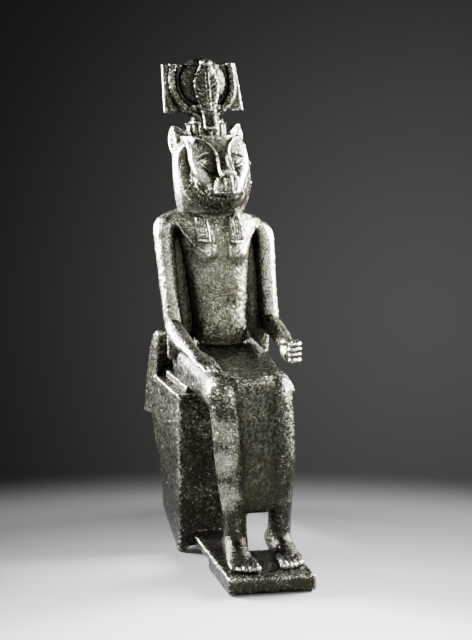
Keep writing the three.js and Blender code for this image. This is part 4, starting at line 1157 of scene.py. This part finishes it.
# Painted highlights: pale patches on the face, the ruff's side and down the front of one shin, where the side
# light falls.
painted_highlight_spots = [((-14, 1, 163), 8), ((4, 1, 163), 8), ((-18, 13, 160), 9), ((-15, -30, 76), 10),
    ((-14, -34, 62), 10), ((-13, -34, 48), 10), ((-12, -34, 34), 9)]
green_spots = [((-8, 18, 188), 8), ((-7, 17, 182), 6), ((4, -38, 60), 16), ((2, -38, 74), 10),
    ((-14, 12, 130), 7)]
rust_spots = [((-6, 9, 206), 5), ((20, 2, 94), 10), ((19, -10, 95), 9), ((-9, -33, 48), 6),
    ((-12, -33, 30), 5)]


def reading(name):
    return on.node("ShaderNodeAttribute", attribute_name=name)["Fac"]


def close_to(spots):
    """A soft mask around some spots."""
    total = None
    for spot, reach in spots:
        away = on.away(where, place_in_frame(np.array(spot, float)).tolist())
        mask = on.ramp(away, reach * 0.001, reach * 0.00035)
        total = mask if total is None else on.maths("MAXIMUM", total, mask)
    return total


height = on.node("ShaderNodeSeparateXYZ", {0: where})["Z"]
tone_and_highlight = tone_at_ground
for start, end, change in tone_steps_by_height:
    step = on.ramp(height, start, end)
    tone_and_highlight = on.plus(on.times(step, change), tone_and_highlight)
# Painted highlights: these spots lift the tone towards the pale metal colour.
tone_and_highlight = on.plus(on.times(close_to(painted_highlight_spots), 0.44), tone_and_highlight)
crown_bulge_share = on.minus(1.0, on.times(step, 0.6))
print("masks use", len(tree.nodes), "nodes")

# %% The bronze material
patina_and_painted_light = on.node("ShaderNodeGroup", {"Place": where, "Open": reading("open"),
    "Bulge": on.times(reading("bulge"), crown_bulge_share), "Tone and highlight": tone_and_highlight, "Green": close_to(green_spots),
    "Rust": close_to(rust_spots)}, node_tree=patina_and_light_group())
bump = on.node("ShaderNodeBump", {"Strength": 0.68, "Distance": 0.0005, "Height": patina_and_painted_light["Height"]})
shader = tree.nodes["Principled BSDF"]
for label, value in (("Base Color", patina_and_painted_light["Colour"]), ("Metallic", patina_and_painted_light["Metal"]),
        ("Roughness", patina_and_painted_light["Roughness"]), ("Normal", bump["Normal"])):
    tree.links.new(value, shader.inputs[label])
print("bronze uses", len(tree.nodes), "nodes")

# %% [markdown]
# ## Studio
# A photographer lights dark metal from both sides, a little from behind, so that the edges draw themselves
# in light while the front stays deep. Here the same is done with a softbox on each side and two weak ones
# in front. The pale floor is a round sheet whose colour darkens and which thins out towards its rim, a
# painted falloff of light, so that it melts into the dark backdrop without a horizon, as a sweep of paper
# does when only its front is lit.

# %% Pale floor
floor_middle, floor_radius, floor_solid, floor_gone = (-0.09, -0.27, 0), 0.5, 0.22, 0.455
pale, painted_falloff_grey, painted_falloff_span = (0.25, 0.253, 0.264, 1), (0.085, 0.086, 0.09, 1), (0.19, 0.36)
rim = [(floor_middle[0] + floor_radius * math.cos(a), floor_middle[1] + floor_radius * math.sin(a), 0)
    for a in map(math.radians, range(0, 360, 6))]
mesh = bpy.data.meshes.new("floor")
mesh.from_pydata(rim, [], [tuple(range(len(rim)))])
paper = bpy.data.materials.new("pale paper")
paper.use_nodes = True
tree = paper.node_tree
sheet, on = tree.nodes["Principled BSDF"], Masks(tree)
sheet.inputs["Roughness"].default_value = 0.9
away = on.away(on.node("ShaderNodeTexCoord")["Object"], floor_middle)
tree.links.new(on.ramp(away, floor_gone, floor_solid), sheet.inputs["Alpha"])
# Painted falloff of light: the sheet's colour goes from pale to a darker grey away from the middle.
tree.links.new(on.mix(on.ramp(away, *painted_falloff_span), pale, painted_falloff_grey), sheet.inputs["Base Color"])
mesh.materials.append(paper)
placed("floor", mesh)
print("floor fades out between", floor_solid, "and", floor_gone, "m")


# %% Lights
def softbox(name, place, aim, size, power, spread):
    light = bpy.data.lights.new(name, "AREA")
    light.shape, light.size, light.energy = "SQUARE", size, power
    light.spread = math.radians(spread)
    lamp = placed(name, light)
    lamp.location = place
    lamp.rotation_euler = (Vector(aim) - Vector(place)).to_track_quat("-Z", "Y").to_euler()


chest, lap_middle = (0, 0.03, 0.17), (0, 0.03, 0.14)
softbox("left light", (-0.37, 0.32, 0.25), chest, 0.18, 13, 52)
softbox("right light", (0.48, 0.06, 0.26), lap_middle, 0.24, 19, 80)
softbox("front light", (-0.42, -0.36, 0.34), lap_middle, 0.4, 0.7, 80)
softbox("fill light", (0.2, -0.75, 0.34), lap_middle, 0.45, 2.2, 80)
print("softboxes:", len(bpy.data.lights))

# %% Backdrop
# The backdrop only colours what the rays that miss everything see, lightest in one direction.
glow_way, glow_grey, dark_grey, around_grey = (0.41, 0.905, -0.15), 0.084, (0.012, 0.012, 0.011, 1), 0.05
world = bpy.data.worlds.new("world")
bpy.context.scene.world = world
world.use_nodes = True
tree = world.node_tree
on = Masks(tree)
glow = on.away(on.node("ShaderNodeTexCoord")["Generated"], glow_way)
backdrop = on.mix(on.ramp(glow, -0.026, 0.419), (glow_grey, glow_grey, glow_grey, 1), dark_grey)
around = on.mix(on.ramp(glow, 0.45, 1.0), backdrop, (around_grey, around_grey, around_grey, 1))
tree.links.new(around, tree.nodes["Background"].inputs["Color"])
print("backdrop is lightest towards", glow_way)

# %% [markdown]
# ## Pieces
# Every piece of the one casting rides on the one rigid body and is bronze, given it here where it has no
# material yet, and the imported solid is hidden.

# %% Finish
for piece in (throne, body, head, headdress, mane, lappets, hood_ribs, cobra_ring):
    if not piece.data.materials:
        piece.data.materials.append(bronze)
    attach(piece, "root")
    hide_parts("goddess_figurine")
    triangles = sum(len(p.vertices) - 2 for p in piece.data.polygons)
    print(piece.name, "triangles", triangles)
